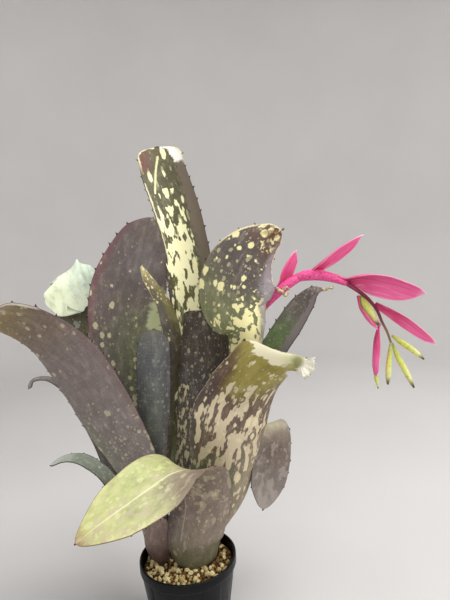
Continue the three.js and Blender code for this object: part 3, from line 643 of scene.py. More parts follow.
def squeezed(entry, place):
    squeeze = add(place, "ShaderNodeCombineXYZ", {"X": 1, "Y": entry["Squeeze"], "Z": 1})
    return vectors("MULTIPLY", place, squeeze)


@effect("Cream spots", Place=None, Amount=0.5, Scale=2, Squeeze=0.6, Wobble=0.3)
def cream_spots(entry):
    """Uneven round spots, each of its own size, of which only some are there."""
    place, scale = entry["Place"], entry["Scale"]
    noise = {"Vector": place, "Scale": times(scale, 2.1), "Detail": 2}
    loose = vectors("SUBTRACT", add(place, "ShaderNodeTexNoise", noise, 1), (0.5, 0.5, 0.5))
    loose = vectors("SCALE", loose, divided(entry["Wobble"], scale))
    inputs = {"Vector": squeezed(entry, vectors("ADD", place, loose)), "Scale": scale}
    cells = add(place, "ShaderNodeTexVoronoi", inputs, voronoi_dimensions="2D").node.outputs
    chance = add(place, "ShaderNodeSeparateColor", {0: cells["Color"]}).node.outputs
    reach = times_plus(power(chance[0], 1.6), 0.3, 0.1)
    disc = eased(minus(reach, cells["Distance"]), -0.03, 0.06)
    return times(disc, is_below(chance[1], entry["Amount"]))


@effect("Cream blotches", Place=None, Amount=0.5, Scale=2, Squeeze=0.4)
def cream_blotches(entry):
    """Ragged merged patches that cover more as the amount rises."""
    coarse = cloud(squeezed(entry, entry["Place"]), entry["Scale"])
    return eased(minus(coarse, times_plus(entry["Amount"], -0.42, 0.74)), -0.01, 0.03)


@effect("Pale scurf", Place=None)
def pale_scurf(entry):
    """Fine pale scurf: grains all over, drawn together in faint cross bands."""
    grains = cloud(entry["Place"], 13, 3, 0.7)
    bands = cloud(entry["Place"], 1.1, 2, 0.6, (0.6, 4.5, 1))
    return times(eased(grains, 0.42, 0.72), eased(bands, 0.3, 0.7, 0.35))


@effect("Leaf veins", "Value", Place=None)
def leaf_veins(entry):
    """Fine lines that run along the blade."""
    return cloud(entry["Place"], 1, 3, 0.6, (14, 0.3, 1))


@effect(
    "Soft area", Place=None, Share_across=0.5, Share_along=0.5, Middle_across=0.5, Middle_along=0.5,
    Reach_across=0.2, Reach_along=0.2, Softness=0.4,
)
def soft_area(entry):
    """A soft ragged area about a middle, by the shares across and along the blade."""
    across, along = (
        divided(minus(entry["Share " + side], entry["Middle " + side]), entry["Reach " + side])
        for side in ("across", "along")
    )
    distance = root(times_plus(across, across, times(along, along)))
    ragged = times_plus(minus(cloud(entry["Place"], 1.3, 3, 0.65), 0.5), 1.1, distance)
    return eased(ragged, minus(1, entry["Softness"]), plus(1, entry["Softness"]), 1, 0)


@effect("Thin streak", Place=None, Start=None, End=None, Width=0.2)
def thin_streak(entry):
    """A thin streak between two places on the blade."""
    reach = vectors("SUBTRACT", entry["End"], entry["Start"])
    offset = vectors("SUBTRACT", entry["Place"], entry["Start"])
    share = divided(vectors("DOT_PRODUCT", offset, reach), vectors("DOT_PRODUCT", reach, reach))
    share.node.use_clamp = True
    gap = vectors("LENGTH", vectors("SUBTRACT", offset, vectors("SCALE", reach, share)))
    rough = times_plus(cloud(entry["Place"], 6), 0.12, minus(gap, 0.06))
    return eased(rough, times(entry["Width"], 0.6), entry["Width"], 1, 0)


class Coat:
    """A finish in the making: its tree, its shader's inputs and the colour laid so far."""

    def __init__(self, name, roughness=0.55, scatter=None, **sockets):
        self.finish = bpy.data.materials.new(name)
        self.finish.use_nodes = True
        self.tree = self.finish.node_tree
        shader = next(node for node in self.tree.nodes if node.type == "BSDF_PRINCIPLED")
        self.inputs = shader.inputs
        self.inputs["Roughness"].default_value = roughness
        if scatter:
            self.inputs["Subsurface Radius"].default_value = scatter
        for label, value in sockets.items():
            self.inputs[label.replace("_", " ")].default_value = value

    def own(self, name):
        """A number that the piece keeps for each vertex."""
        return add(self.tree, "ShaderNodeAttribute", {}, 2, attribute_name=name)

    def blade(self):
        return add(self.tree, "ShaderNodeUVMap", {}, uv_map="Blade")

    def place(self):
        return add(self.tree, "ShaderNodeTexCoord", {}, "Object")

    def lay(self, amount, shade):
        self.colour = blend(amount, self.colour, linear(shade))

    def done(self, height=None, distance=0.0005, strength=0.5):
        """Joins the colour and a relief, and gives the material."""
        join(self.colour, self.inputs["Base Color"])
        if height is not None:
            inputs = {"Height": height, "Distance": distance, "Strength": strength}
            join(add(height, "ShaderNodeBump", inputs), self.inputs["Normal"])
        return self.finish


# Looks of the leaves, outside and inside. Stops go from foot (0) to tip (1), and those for across
# from one margin (0) to the other (1). An area is its colour, its strength, its middle and its reach
# (across, along) and its softness. Spots and blotches are a colour, a strength, a scale, a squeeze
# along the blade, and how much there is along and across; spots also have how much the finer ones
# show and how uneven all are. A streak is its colour, its ends in centimetres and its width. "dry" is
# a withered margin's colour, width and strength along it, and "burnt" a scorched tip's.
LOOKS = {
    "leaf_front_fold": {
        "outer": (0, "65684a", 0.06, "716e54", 0.14, "86796a", 0.3, "806e64", 0.45, "7d6c60",
            0.6, "9a9068"),
        "inner": (0, "6a7a3c", 0.5, "9a9070", 0.6, "aeaa7c", 0.75, "c2c28c", 0.95, "bcbd7c", 1, "8f6a3c"),
        # Under: the dark purple patch at one margin of the foot is partly the purple of the leaf base,
        # partly painted shade.
        "under": (("4a363a", 0.85, (1, 0.2), (0.2, 0.2), 0.4),
            ("7e6a66", 0.75, (0.15, 0.6), (0.4, 0.1), 0.5),
            ("9aa65e", 0.6, (0.75, 0.72), (0.22, 0.16), 0.6),
            ("6f7c4c", 0.4, (0.3, 0.76), (0.2, 0.1), 0.7)),
        "spots": ("d4d4a0", 0.4, 1.5, 0.7, (0, 0.05, 0.3, 0.25, 0.5, 0.3, 1, 0.5)),
        "blotches": ("b3a68c", 0.55, 1.5, 0.6, (0, 0.1, 0.25, 0.35, 0.4, 0.62, 0.5, 0.3, 0.75, 0.55,
            1, 0.5), (0, 0.9, 0.6, 1, 0.85, 0.5, 1, 0)), "scurf": 0.3, "midrib": "dfe0b4",
        "edge": "6a4a38", "streaks": (("a89c90", (1.1, 3), (1.85, 8.4), 0.07),)},
    "leaf_spout": {
        "outer": (0, "7a6c5c", 0.2, "75675a", 0.35, "6f6a54", 0.5, "6a5a4a", 0.65, "644f42",
            0.76, "5e4630", 0.84, "6c5a30", 1, "9a9448"),
        "inner": (0, "55683a", 0.6, "7c8440", 0.78, "c9cf94", 0.88, "e2dcb8", 1, "efe8d0"),
        # Under: the yellow-olive area is partly the leaf's own olive green, partly painted glow of light
        # shining through it.
        "under": (("988c36", 0.95, (0.62, 0.87), (0.55, 0.15), 0.4),
            ("4c2616", 0.88, (0.96, 0.755), (0.13, 0.085), 0.5),
            ("453a36", 0.8, (0.97, 0.62), (0.14, 0.14), 0.4),
            ("6a7450", 0.85, (0.7, 0.35), (0.35, 0.09), 0.5),
            ("94866e", 0.8, (0.1, 0.3), (0.25, 0.25), 0.5)),
        "spots": ("dccfaa", 0.9, 1.25, 0.55, (0, 0.1, 0.3, 0.45, 0.7, 0.5, 0.85, 0.35, 1, 0.2), None, 1,
            0.35),
        "blotches": ("d4c5a6", 0.92, 1.5, 0.38, (0, 0.1, 0.22, 0.2, 0.3, 0.34, 0.38, 0.48, 0.45, 0.66,
            0.6, 0.68, 0.68, 0.58, 0.76, 0.35, 0.82, 0.1, 1, 0), (0, 0.55, 0.15, 0.75, 0.3, 0.95, 0.7, 1,
            0.86, 0.85, 0.93, 0.55, 1, 0.6)),
        # Over: the cream areas near the neck are the pale inner face brightened by painted light, the
        # near-white band at the tip is a painted highlight, and the dark olive patch is painted shade
        # inside the channel's end.
        "over": (("e9e3c2", 0.97, (0.98, 0.903), (0.36, 0.048), 0.08),
            ("e9e3c2", 0.97, (1.02, 0.94), (0.3, 0.05), 0.12),
            ("bcbc86", 0.7, (0.78, 0.93), (0.22, 0.022), 0.8),
            ("efeede", 0.98, (0.5, 1), (0.9, 0.045), 0.15),
            ("6c6c38", 0.8, (0.86, 0.944), (0.24, 0.016), 0.7)), "scurf": 0.2, "edge": "b8a88c"},
    "leaf_dark": {
        # The outer face darkens to blackish brown towards the tip: partly the leaf's own dark colour,
        # partly painted shadow of the spotted leaf above.
        "outer": (0, "5a5248", 0.45, "4a403c", 0.7, "3b3334", 0.85, "33281f", 1, "2a1d10"),
        "inner": (0, "4c4c36", 1, "3a3628"),
        "spots": ("b0a784", 0.6, 2.4, 0.6, (0, 0.3, 0.5, 0.6, 0.75, 0.4, 1, 0.2)),
        "blotches": ("c9bf96", 0.75, 2.8, 0.4, (0, 0.2, 0.45, 0.55, 0.65, 0.45, 0.78, 0),
            (0, 0.2, 0.55, 0.5, 0.8, 1, 1, 1)), "scurf": 0.22},
    "leaf_spotted": {
        "outer": (0, "5a5e40", 0.55, "6a7040", 0.7, "63663f", 0.8, "504a44", 0.92, "4b3d38", 1, "5a3c26"),
        "inner": (0, "5f7040", 1, "66603a"),
        # Under: the olive-green area on one side is partly the leaf's own green, partly painted glow of
        # light shining through it.
        "under": (("74784e", 0.8, (0.85, 0.74), (0.3, 0.09), 0.5),
            ("463a3a", 0.6, (0.6, 0.86), (0.3, 0.08), 0.6)),
        "spots": ("e6dea4", 0.95, 1.2, 0.85, (0, 0.3, 0.6, 0.7, 0.9, 0.56, 0.96, 0.9, 1, 0.9), None, 0.5,
            0.42),
        "blotches": ("e6dfa6", 0.95, 1.9, 0.7, (0, 0.2, 0.5, 0.6, 0.66, 0.85, 0.72, 0.75, 0.77, 0.25,
            0.9, 0.1, 0.95, 0.5, 1, 0.6), (0, 0.6, 0.3, 0.9, 0.55, 1, 0.75, 0.5, 1, 0.35)),
        # Over: the lavender-grey area along the margin near the tip is a painted sheen of skylight on the
        # curved side.
        "over": (("8d858c", 0.85, (0, 0.86), (0.24, 0.22), 0.25),
            ("8a8a74", 0.5, (0, 0.64), (0.25, 0.1), 0.5)), "scurf": 0.2,
        "burnt": ("5e3018", (0.9, 0, 0.96, 0.55, 1, 0.9)),
        "dry": ("d8caa0", 2.4, (0.84, 0, 0.89, 1, 1, 1))},
    "leaf_tall": {
        "outer": (0, "5c5a44", 0.6, "6a5e5c", 1, "5c5240"),
        "inner": (0, "4e5634", 0.6, "5c5c2c", 0.8, "4a4724", 0.95, "484422", 1, "58461e"),
        "under": (("3a2e1c", 0.85, (0, 0.64), (0.14, 0.09), 0.25),),
        "spots": ("eeebb8", 0.95, 1.15, 0.34, (0, 0.2, 0.7, 1, 0.86, 0.98, 0.9, 0.6, 0.95, 0.35, 1, 0.3),
            (0, 0.5, 0.2, 1, 0.7, 1, 0.8, 0), 0.45, 0.3),
        "blotches": ("f2edbe", 0.95, 2, 0.34, (0, 0.2, 0.5, 0.6, 0.6, 0.66, 0.68, 0.74, 0.74, 0.8,
            0.8, 0.7, 0.85, 0.42, 0.89, 0), (0, 0.5, 0.12, 0.8, 0.35, 1, 0.62, 0.9, 0.74, 0.2, 1, 0)),
        # Over: the near-white patch at the corner of the tip is a painted highlight where the curled tip
        # catches the light from above.
        "over": (("736657", 0.9, (1.02, 0.78), (0.28, 0.25), 0.2),
            ("5e2a22", 0.75, (0.1, 0.962), (0.17, 0.028), 0.5),
            ("f0efe8", 0.97, (1.02, 0.985), (0.28, 0.04), 0.12)),
        "streaks": (("dcd8a4", (-1.5, 35.8), (-0.15, 39.4), 0.13),
            ("cfc8a2", (-2.15, 29), (-2.2, 36.8), 0.1)), "scurf": 0.15,
        "dry": ("e2d8ac", 2.6, (0.93, 0, 0.97, 1, 1, 1))},
    "leaf_right": {
        "outer": (0, "60584e", 0.5, "6c6266", 1, "4e4340"),
        "inner": (0, "5f7a44", 0.55, "617a42", 0.78, "57703c", 0.86, "5c5a50", 0.94, "544a48",
            1, "4a3c30"), "spots": ("a39d8a", 0.5, 3, 0.8, (0, 0.2, 0.85, 0.3, 1, 0.7)),
        "over": (("7d7573", 0.95, (1, 0.8), (0.38, 0.24), 0.12),), "scurf": 0.25},
    "leaf_hanging": {
        "outer": (0, "8a8266", 0.35, "a09a76", 0.5, "6e6258", 1, "5a5048"),
        "inner": (0, "8f8c66", 0.42, "c2be98", 0.62, "b5af88", 0.68, "7a6d60", 0.74, "665850",
            0.85, "6d625c", 1, "9a908a"), "spots": ("9a9086", 0.4, 2, 0.7, (0, 0.1, 1, 0.3)),
        "blotches": ("a09690", 0.5, 1.4, 0.6, (0, 0, 0.55, 0.6, 0.62, 0.5, 0.7, 0.3, 0.9, 0.5, 1, 0.7)),
        "under": (("55423a", 0.6, (0.45, 0.76), (0.3, 0.05), 0.6),), "scurf": 0.35},
    "leaf_broad": {
        "outer": (0, "60584e", 1, "5d5254"),
        "inner": (0, "5c6044", 0.35, "62624a", 0.55, "605a52", 0.7, "645754", 0.85, "665a5a",
            1, "62544f"),
        "under": (("6c7050", 0.7, (0.65, 0.58), (0.3, 0.12), 0.7),
            ("74424c", 0.6, (0, 0.82), (0.1, 0.2), 0.6), ("8a8486", 0.4, (0.62, 0.85), (0.2, 0.05), 0.9)),
        "over": (("b9c092", 0.93, (0.96, 0.665), (0.17, 0.105), 0.2),),
        "spots": ("d6cca8", 0.72, 1.35, 0.8, (0, 0.6, 0.45, 0.55, 0.68, 0.34, 0.82, 0.08, 1, 0.02),
            (0, 1, 0.82, 1, 0.86, 0.2), 0.5, 0.35),
        "blotches": ("8a9456", 0.55, 2.2, 0.5, (0, 0.3, 0.5, 0.5, 0.72, 0.3, 0.8, 0),
            (0, 0, 0.45, 0.5, 0.6, 1, 0.8, 0.4)), "scurf": 0.3, "edge": "6a3038"},
    "leaf_left_arch": {
        # The inner face's pale tip and the pale fleck at the margin near the tip are a painted highlight
        # along the bent rim.
        "outer": (0, "7c6a66", 0.15, "746664", 0.4, "746a69", 0.75, "746665", 0.88, "6e5c4a",
            0.95, "7c6a46", 1, "8a7850"), "inner": (0, "5a5c44", 0.8, "63584c", 1, "d8d2c0"),
        "under": (("6a4c50", 0.5, (0, 0.7), (0.1, 0.3), 0.6),
            ("6f7660", 0.5, (0.9, 0.4), (0.25, 0.1), 0.7)),
        "spots": ("bdb896", 0.7, 1.4, 0.8, (0, 0.5, 0.4, 0.5, 0.5, 0.4, 0.6, 0.05, 0.85, 0.1, 1, 0.5)),
        "over": (("dcd6c6", 0.8, (0, 0.93), (0.05, 0.05), 0.3),), "scurf": 0.5, "edge": "55403e"},
    "leaf_pale": {
        # The near-white mint towards the tip, the white edge and the bright patches near the top are
        # painted sunlight on the leaf's top; the darker green lower down stands for the part in shade.
        "outer": (0, "4e5a3c", 0.5, "56684a", 0.72, "7d9a78", 0.8, "d6e6cc", 1, "e6f0d6"),
        "inner": (0, "5a5c40", 0.5, "66684e", 0.72, "706c54", 0.79, "635c40", 0.84, "b4cca8",
            1, "d2e6c8"),
        "under": (("f0f8d0", 0.75, (0.1, 0.94), (0.35, 0.08), 0.8),
            ("cfe0cc", 0.6, (0.85, 0.9), (0.25, 0.05), 0.8)),
        "spots": ("eef6e6", 0.4, 1.2, 0.8, (0, 0.3, 1, 0.4)), "scurf": 0.08, "edge": "f2f6ee",
        "tooth": "55663e"},
    "leaf_grey": {
        "outer": (0, "5e5650", 0.4, "54504e", 0.6, "4e5052", 0.85, "4c4f54", 0.96, "5c5e5c", 1, "6a665a"),
        "inner": (0, "55583c", 1, "5c6048"),
        # Under: the dark grey area along one margin is painted shade along that edge of the blade.
        "under": (("3a3a3e", 0.6, (0, 0.75), (0.22, 0.3), 0.5),
            ("5c6654", 0.4, (0.5, 0.6), (0.3, 0.15), 0.8)),
        "spots": ("8f9384", 0.5, 2.4, 0.8, (0, 0.3, 1, 0.3)), "scurf": 0.3},
    "leaf_curled": {
        "outer": (0, "66604e", 0.5, "5c5648", 0.7, "443e28", 0.85, "3e371c", 0.93, "5e532c", 1, "a89a6a"),
        "inner": (0, "8aa060", 0.5, "a5c07a", 0.8, "93a85a", 0.93, "a8a270", 1, "d8cf9c"),
        "under": (("6e6630", 0.7, (0.5, 0.85), (0.25, 0.08), 0.6),
            ("46403c", 0.6, (0.9, 0.75), (0.2, 0.2), 0.5)),
        "spots": ("d8cf9c", 0.8, 2.6, 0.6, (0, 0.05, 0.84, 0.06, 0.93, 0.6, 1, 0.9)), "scurf": 0.08,
        "edge": "a89f74"},
    "leaf_low": {
        "outer": (0, "7c6862", 0.25, "7a6a62", 0.4, "5a5a48", 1, "5c6448"),
        "inner": (0, "66706a", 0.5, "66685a", 0.8, "7c8676", 1, "bcc4b6"),
        "spots": ("b4c4b8", 0.4, 2.2, 0.8, (0, 0.2, 1, 0.4)), "scurf": 0.3},
    "offset_sheath": {
        "outer": (0, "5c4438", 0.3, "6e5650", 0.6, "806862", 1, "7a6660"),
        "inner": (0, "5a4a3c", 1, "6a5a50"), "spots": ("a89a8c", 0.4, 2, 0.8, (0, 0.1, 1, 0.3)),
        "scurf": 0.25, "edge": "9a8c7c"},
    "leaf_dry_tip": {
        "outer": (0, "5a5048", 0.7, "6a6058", 1, "7a706a"),
        "inner": (0, "5c524a", 0.7, "6f655f", 1, "86807a"),
        "spots": ("a69c94", 0.5, 2.4, 0.5, (0, 0.2, 1, 0.3)), "scurf": 0.45},
}

EDGE_COLOUR = "3a2428"
TOOTH_COLOUR = "2a1614"
SCURF_COLOUR = "aca596"


def leaf_finish(name):
    """A leaf: two faces' colours along it, areas (some painted light and shade), spots, blotches, scurf,
    dark teeth, edge.
    """
    look = LOOKS[name]
    coat = Coat(name, 0.55, (0.004, 0.005, 0.002), Specular_IOR_Level=0.42, Subsurface_Weight=0.08)
    along, across, inner, margin = map(coat.own, ("along", "across", "inner", "margin"))
    blade = coat.blade()
    place = vectors("ADD", blade, (len(name) * 3.7, sum(map(ord, name)) % 23, 0))
    share = times_plus(across, 0.5, 0.5)

    def areas(key):
        for shade, strength, middle, reach, softness in look.get(key, ()):
            mask = put(
                soft_area, place, Share_across=share, Share_along=along, Middle_across=middle[0],
                Middle_along=middle[1], Reach_across=reach[0], Reach_along=reach[1], Softness=softness,
            )
            coat.lay(times(mask, strength), shade)

    def amount(stops, sides):
        return times(ramp(along, stops), ramp(share, sides)) if sides else ramp(along, stops)

    def blotches(shade, strength, scale, squeeze, stops, sides=None):
        mask = put(cream_blotches, place, Amount=amount(stops, sides), Scale=scale, Squeeze=squeeze)
        coat.lay(times(mask, strength), shade)

    def spots(shade, strength, scale, squeeze, stops, sides=None, fine=1, wobble=0.5):
        many = amount(stops, sides)
        for finer, part in ((3.4, 0.35 * fine), (1.9, 0.7 * fine), (1, 1)):
            inputs = {"Scale": scale * finer, "Squeeze": squeeze, "Wobble": wobble}
            mask = put(cream_spots, place, Amount=times(many, part**0.5), **inputs)
            coat.lay(times(mask, strength * part), shade)

    coat.colour = blend(inner, ramp(along, look["outer"]), ramp(along, look["inner"]))
    areas("under")
    mottle = cloud(place, 1.2, 5, 0.65, (1.3, 0.6, 1))
    coat.lay(eased(mottle, 0.4, 0.72, 0, 0.3), "2a261e")
    coat.lay(eased(mottle, 0.3, 0.5, 0.16, 0), "c8c0b0")
    veins = put(leaf_veins, place)
    coat.lay(eased(veins, 0.5, 0.75, 0, 0.2), "9a9484")
    if "blotches" in look:
        blotches(*look["blotches"])
    spots(*look["spots"])
    scurf = put(pale_scurf, place)
    coat.lay(times(scurf, look["scurf"]), SCURF_COLOUR)
    areas("over")
    for shade, start, end, width in look.get("streaks", ()):
        line = put(thin_streak, blade, Start=(*start, 0), End=(*end, 0), Width=width)
        coat.lay(times(line, 0.85), shade)
    if "midrib" in look:
        rib = times(eased(size_of(across), 0, 0.05, 0.6, 0), times(inner, eased(along, 0.5, 0.62)))
        coat.lay(rib, look["midrib"])
    if "burnt" in look:
        shade, stops = look["burnt"]
        coat.lay(times(ramp(along, stops), eased(mottle, 0.4, 0.55)), shade)
    rim = times(eased(margin, 0.15, 0.8, 0.8, 0), eased(along, 0.3, 0.4))
    coat.lay(rim, look.get("edge", EDGE_COLOUR))
    if "dry" in look:
        shade, width, stops = look["dry"]
        rind = eased(times_plus(mottle, -9, plus(margin, 4.7)), width * 0.4, width, 0.95, 0)
        coat.lay(times(rind, ramp(along, stops)), shade)
    coat.lay(eased(coat.own("tooth"), 0.12, 0.45), look.get("tooth", TOOTH_COLOUR))
    join(eased(cloud(place, 2.2, 3, 0.6), 0.3, 0.7, 0.42, 0.62), coat.inputs["Roughness"])
    return coat.done(times_plus(scurf, 0.5, times(veins, 0.7)))


def bract_finish(base, tip, edge):
    """A waxy bract: its colour from base to tip, with fine veins and a paler edge."""
    sockets = {"Subsurface_Weight": 0.18, "Specular_IOR_Level": 0.5}
    coat = Coat("Bract skin", 0.38, (0.006, 0.002, 0.003), **sockets)
    blade = coat.blade()
    coat.colour = ramp(coat.own("along"), (0, base, 0.3, base, 0.62, tip, 0.93, tip, 1, edge))
    veins = cloud(blade, 1.6, 3, 0.6, (14, 0.5, 1))
    coat.lay(eased(veins, 0.45, 0.75, 0, 0.35), base)
    coat.lay(eased(cloud(blade, 1.3, 2, 0.5, (9, 0.35, 1)), 0.48, 0.72, 0, 0.5), edge)
    coat.lay(eased(size_of(coat.own("across")), 0.02, 0.09, 0.45, 0), base)
    coat.lay(eased(coat.own("margin"), 0.1, 0.9, 0.35, 0), edge)
    return coat.done(veins, 0.0004, 0.4)


def grained_finish(name, roughness, noise, kept, stops, relief, laid=None, **sockets):
    """A finish of shades along a kept number, or along its own grain, with grain laid over it."""
    coat = Coat(name, roughness, **sockets)
    grain = cloud(coat.place(), *noise)
    coat.colour = ramp(coat.own(kept) if kept else grain, stops)
    if laid:
        low, high, most, shade = laid
        coat.lay(eased(grain, low, high, 0, most), shade)
    return coat.done(grain, *relief)


def granule_finish(name, pale, deep, dust):
    """Porous granules: each has its own shade, with pits and dust."""
    return grained_finish(
        name, 0.9, (1500, 3, 0.7), "shade", (0, pale, 1, deep), (0.0006, 0.8), (0.5, 0.7, 0.5, dust),
        Specular_IOR_Level=0.2,
    )


def dry_finish(name, pale, deep):
    """A withered scrap: two papery shades in streaks."""
    stops = (0.35, deep, 0.6, pale)
    return grained_finish(name, 0.8, (520, 4, 0.7), None, stops, (0.0005, 0.7), Specular_IOR_Level=0.25)


def pot_finish():
    """Dark blue-black moulded plastic with fine turning lines, scuffs and dust."""
    coat = Coat("Pot plastic", Specular_IOR_Level=0.18)
    place = coat.place()
    lines = cloud(place, 1, 2, 0.5, (40, 40, 1400))
    scuffs = cloud(place, 160, 5, 0.7, (1, 1, 0.35), 0.6)
    dust = eased(cloud(place, 60, 4, 0.6), 0.4, 0.8, 0, 0.1)
    coat.colour = blend(dust, linear("06070b"), linear("2e2c2a"))
    coat.lay(eased(scuffs, 0.62, 0.78, 0, 0.2), "3c404a")
    join(eased(scuffs, 0.4, 0.75, 0.3, 0.58), coat.inputs["Roughness"])
    return coat.done(times_plus(lines, 0.6, times(cloud(place, 900), 0.4)), 0.0003, 0.3)


# Pot, soil and stems


def wall_radius(z):
    return FOOT_RADIUS + (RIM_RADIUS - BAND_STEP - FOOT_RADIUS) * z / (POT_HEIGHT - RIM_BAND)


def inner_radius(z):
    return wall_radius(z) - POT_WALL


BRIM = inner_radius(SOIL_LEVEL) - SOIL_GAP
BAND = POT_HEIGHT - RIM_BAND
PANEL_TOP = BAND - PANEL_GAP


def panel_shift(place):
    """Sinks the four shallow panels of the pot's side."""
    reach = place.xy.length
    outside = abs(reach - wall_radius(place.z)) < POT_WALL / 4
    if not outside or not PANEL_FOOT <= place.z <= PANEL_TOP:
        return place
    angle = place.xy.angle_signed(Vector((1, 0)), 0) * 180 / pi
    if abs((angle - PANEL_TURN + 45) % 90 - 45) > PANEL_SPAN / 2:
        return place
    sunk = (reach - PANEL_DEPTH) / reach
    return Vector((place.x * sunk, place.y * sunk, place.z))


def pot_piece(finish):
    """The turned pot with its rim band, sunk panels and drain holes."""
    heights = [0.8, 3, PANEL_FOOT - 0.3, PANEL_FOOT, PANEL_FOOT + 0.3]
    heights += [*np.linspace(PANEL_FOOT + 4, PANEL_TOP - 4, 16)]
    heights += [PANEL_TOP - 0.3, PANEL_TOP, PANEL_TOP + 0.3, BAND - 0.25]
    foot, rim, top, mouth = FOOT_RADIUS, RIM_RADIUS, POT_HEIGHT, RIM_RADIUS - RIM_WALL
    profile = [
        (0, 0), (foot - 8, 0), (foot - 0.8, 0), (foot - 0.2, 0.25), *((wall_radius(z), z) for z in heights),
        (wall_radius(BAND) + 0.15, BAND), (rim - 0.35, BAND), (rim - 0.1, BAND + 0.1), (rim, BAND + 0.4),
        (rim, BAND + 3), (rim, top - 1.2), (rim - 0.1, top - 0.5), (rim - 0.4, top - 0.1),
        (rim - 0.8, top), (mouth + 0.7, top), (mouth + 0.25, top - 0.15), (mouth, top - 0.6),
        (mouth - 0.2, BAND + 2), (inner_radius(BAND), BAND), (inner_radius(50), 50),
        (inner_radius(POT_FLOOR), POT_FLOOR), (0, POT_FLOOR),
    ]
    pot = turned_piece("pot_shell", profile, POT_SEGMENTS, finish, panel_shift)
    drills = bmesh.new()
    for k in range(DRAINS):
        turn = tau * (k + 0.5) / DRAINS
        place = Matrix.Translation(Vector((cos(turn), sin(turn), 0)) * DRAIN_PITCH * MM)
        bmesh.ops.create_cone(
            drills, cap_ends=True, segments=32, radius1=DRAIN_RADIUS * MM,
            radius2=DRAIN_RADIUS * MM, depth=4 * POT_FLOOR * MM, matrix=place,
        )
    tool = new_piece("drills", [], [])
    drills.to_mesh(tool.data)
    drills.free()
    cut = pot.modifiers.new("Drain holes", "BOOLEAN")
    cut.operation = "DIFFERENCE"
    cut.solver = "EXACT"
    cut.object = tool
    settle(pot)
    bpy.data.objects.remove(tool)
    stand_in(pot, "pot_plastic", "pot")


def soil_height(x, y):
    """The lumpy top of the soil, a little higher about the stems."""
    lumps = sin(x * 0.9 + 1.3) * sin(y * 0.8 + 0.4) * 0.35 + sin(x * 0.31 + y * 0.27) * 0.5
    mound = 1.2 * np.exp(-(((x - ROSETTE["x"]) / 26) ** 2 + ((y - ROSETTE["y"]) / 26) ** 2) ** 2)
    return SOIL_LEVEL - 0.7 + lumps * 0.6 + mound * 0.6


def soil_piece(finish):
    floor = POT_FLOOR + SOIL_GAP
    profile = [(0, floor), (inner_radius(floor) - SOIL_GAP, floor), (BRIM, SOIL_LEVEL - 1.5)]
    profile += [(r, SOIL_LEVEL) for r in np.linspace(BRIM, 0.8, SOIL_RINGS)]
    profile.append((0, SOIL_LEVEL))

    def shift(place):
        if place.z > SOIL_LEVEL - 0.5:
            place.z = soil_height(place.x, place.y)
        return place

    stand_in(turned_piece("soil_bed", profile, SOIL_SEGMENTS, finish, shift), "grit", "soil")


def offset_stem(finish):
    """The offset's base: it widens from the soil to its lowest leaves."""
    profile = (
        (0, 59.6), (4.5, 59.6), (7, 62), (8, 68), (8.6, 71), (9.6, 74), (10.8, 77), (11.8, 79.5),
        (12.4, 81.4), (12.2, 82.2), (11, 82.4), (0, 82.4),
    )

    def shift(place):
        angle = np.arctan2(place.y, place.x)
        swell = 1 + 0.04 * sin(3 * angle + place.z * 0.2) + 0.02 * sin(7 * angle)
        if place.z > 81:
            swell = min(swell, 1)
        return Vector((place.x * swell + OFFSET["x"], place.y * swell + OFFSET["y"], place.z))

    stand_in(turned_piece("offset_base", profile, 72, finish, shift), "stem_wood", "stem_offset")


# Grains of grit: name, how many, smallest and largest size, icosphere detail and finish
GRAINS = (
    ("pumice", 120, 1.2, 3.2, 2, ("Pumice", "e2d3a0", "b09560", "7c6436")),
    ("clay", 190, 1, 2.2, 2, ("Clay granule", "8c6a36", "4a3420", "30200f")),
    ("moss", 34, 0.7, 1.4, 1, ("Moss tuft", "6f7a2c", "46541e", "8a9440")),
    ("dark_bits", 260, 0.7, 1.6, 1, ("Dark bit", "44341f", "1c140c", "7a6448")),
)
GRAIN_SEED = 4127
GRAIN_LUMPS = {"Lump_size": 430.0, "Lump_depth": 2.3 * MM}
MOSS_PLACE = (1, -31, 7)
SOIL_FREE = ((ROSETTE["x"], ROSETTE["y"], 22), (OFFSET["x"], OFFSET["y"], 8))


def near(x, y, others, own, apart=1):
    return any(np.hypot(x - a, y - b) < (own + other) * apart for a, b, other in others)


def grain_places():
    """Places, sizes and shades of each kind of grain, thrown at random and kept apart."""
    rng = random.Random(GRAIN_SEED)
    kept = []
    for name, count, small, large, *_ in GRAINS:
        grains = []
        for _ in range(count * 30):
            if len(grains) >= count:
                break
            size = rng.uniform(small, large)
            turn, reach = rng.uniform(0, tau), (BRIM - size * 0.9) * rng.random() ** 0.5
            x, y = reach * cos(turn), reach * sin(turn)
            if name == "moss":
                reach = MOSS_PLACE[2] * rng.random()
                x, y = MOSS_PLACE[0] + reach * cos(turn), MOSS_PLACE[1] + reach * sin(turn)
            brown_side = name == "pumice" and y > -18 - 0.6 * x and rng.random() < 0.75
            if brown_side or near(x, y, SOIL_FREE, size * 0.8) or near(x, y, kept, size, 0.72):
                continue
            kept.append((x, y, size))
            z = soil_height(x, y) + size * rng.uniform(0.1, 0.4)
            grains.append((x, y, z, size, rng.random()))
        yield np.array(grains)


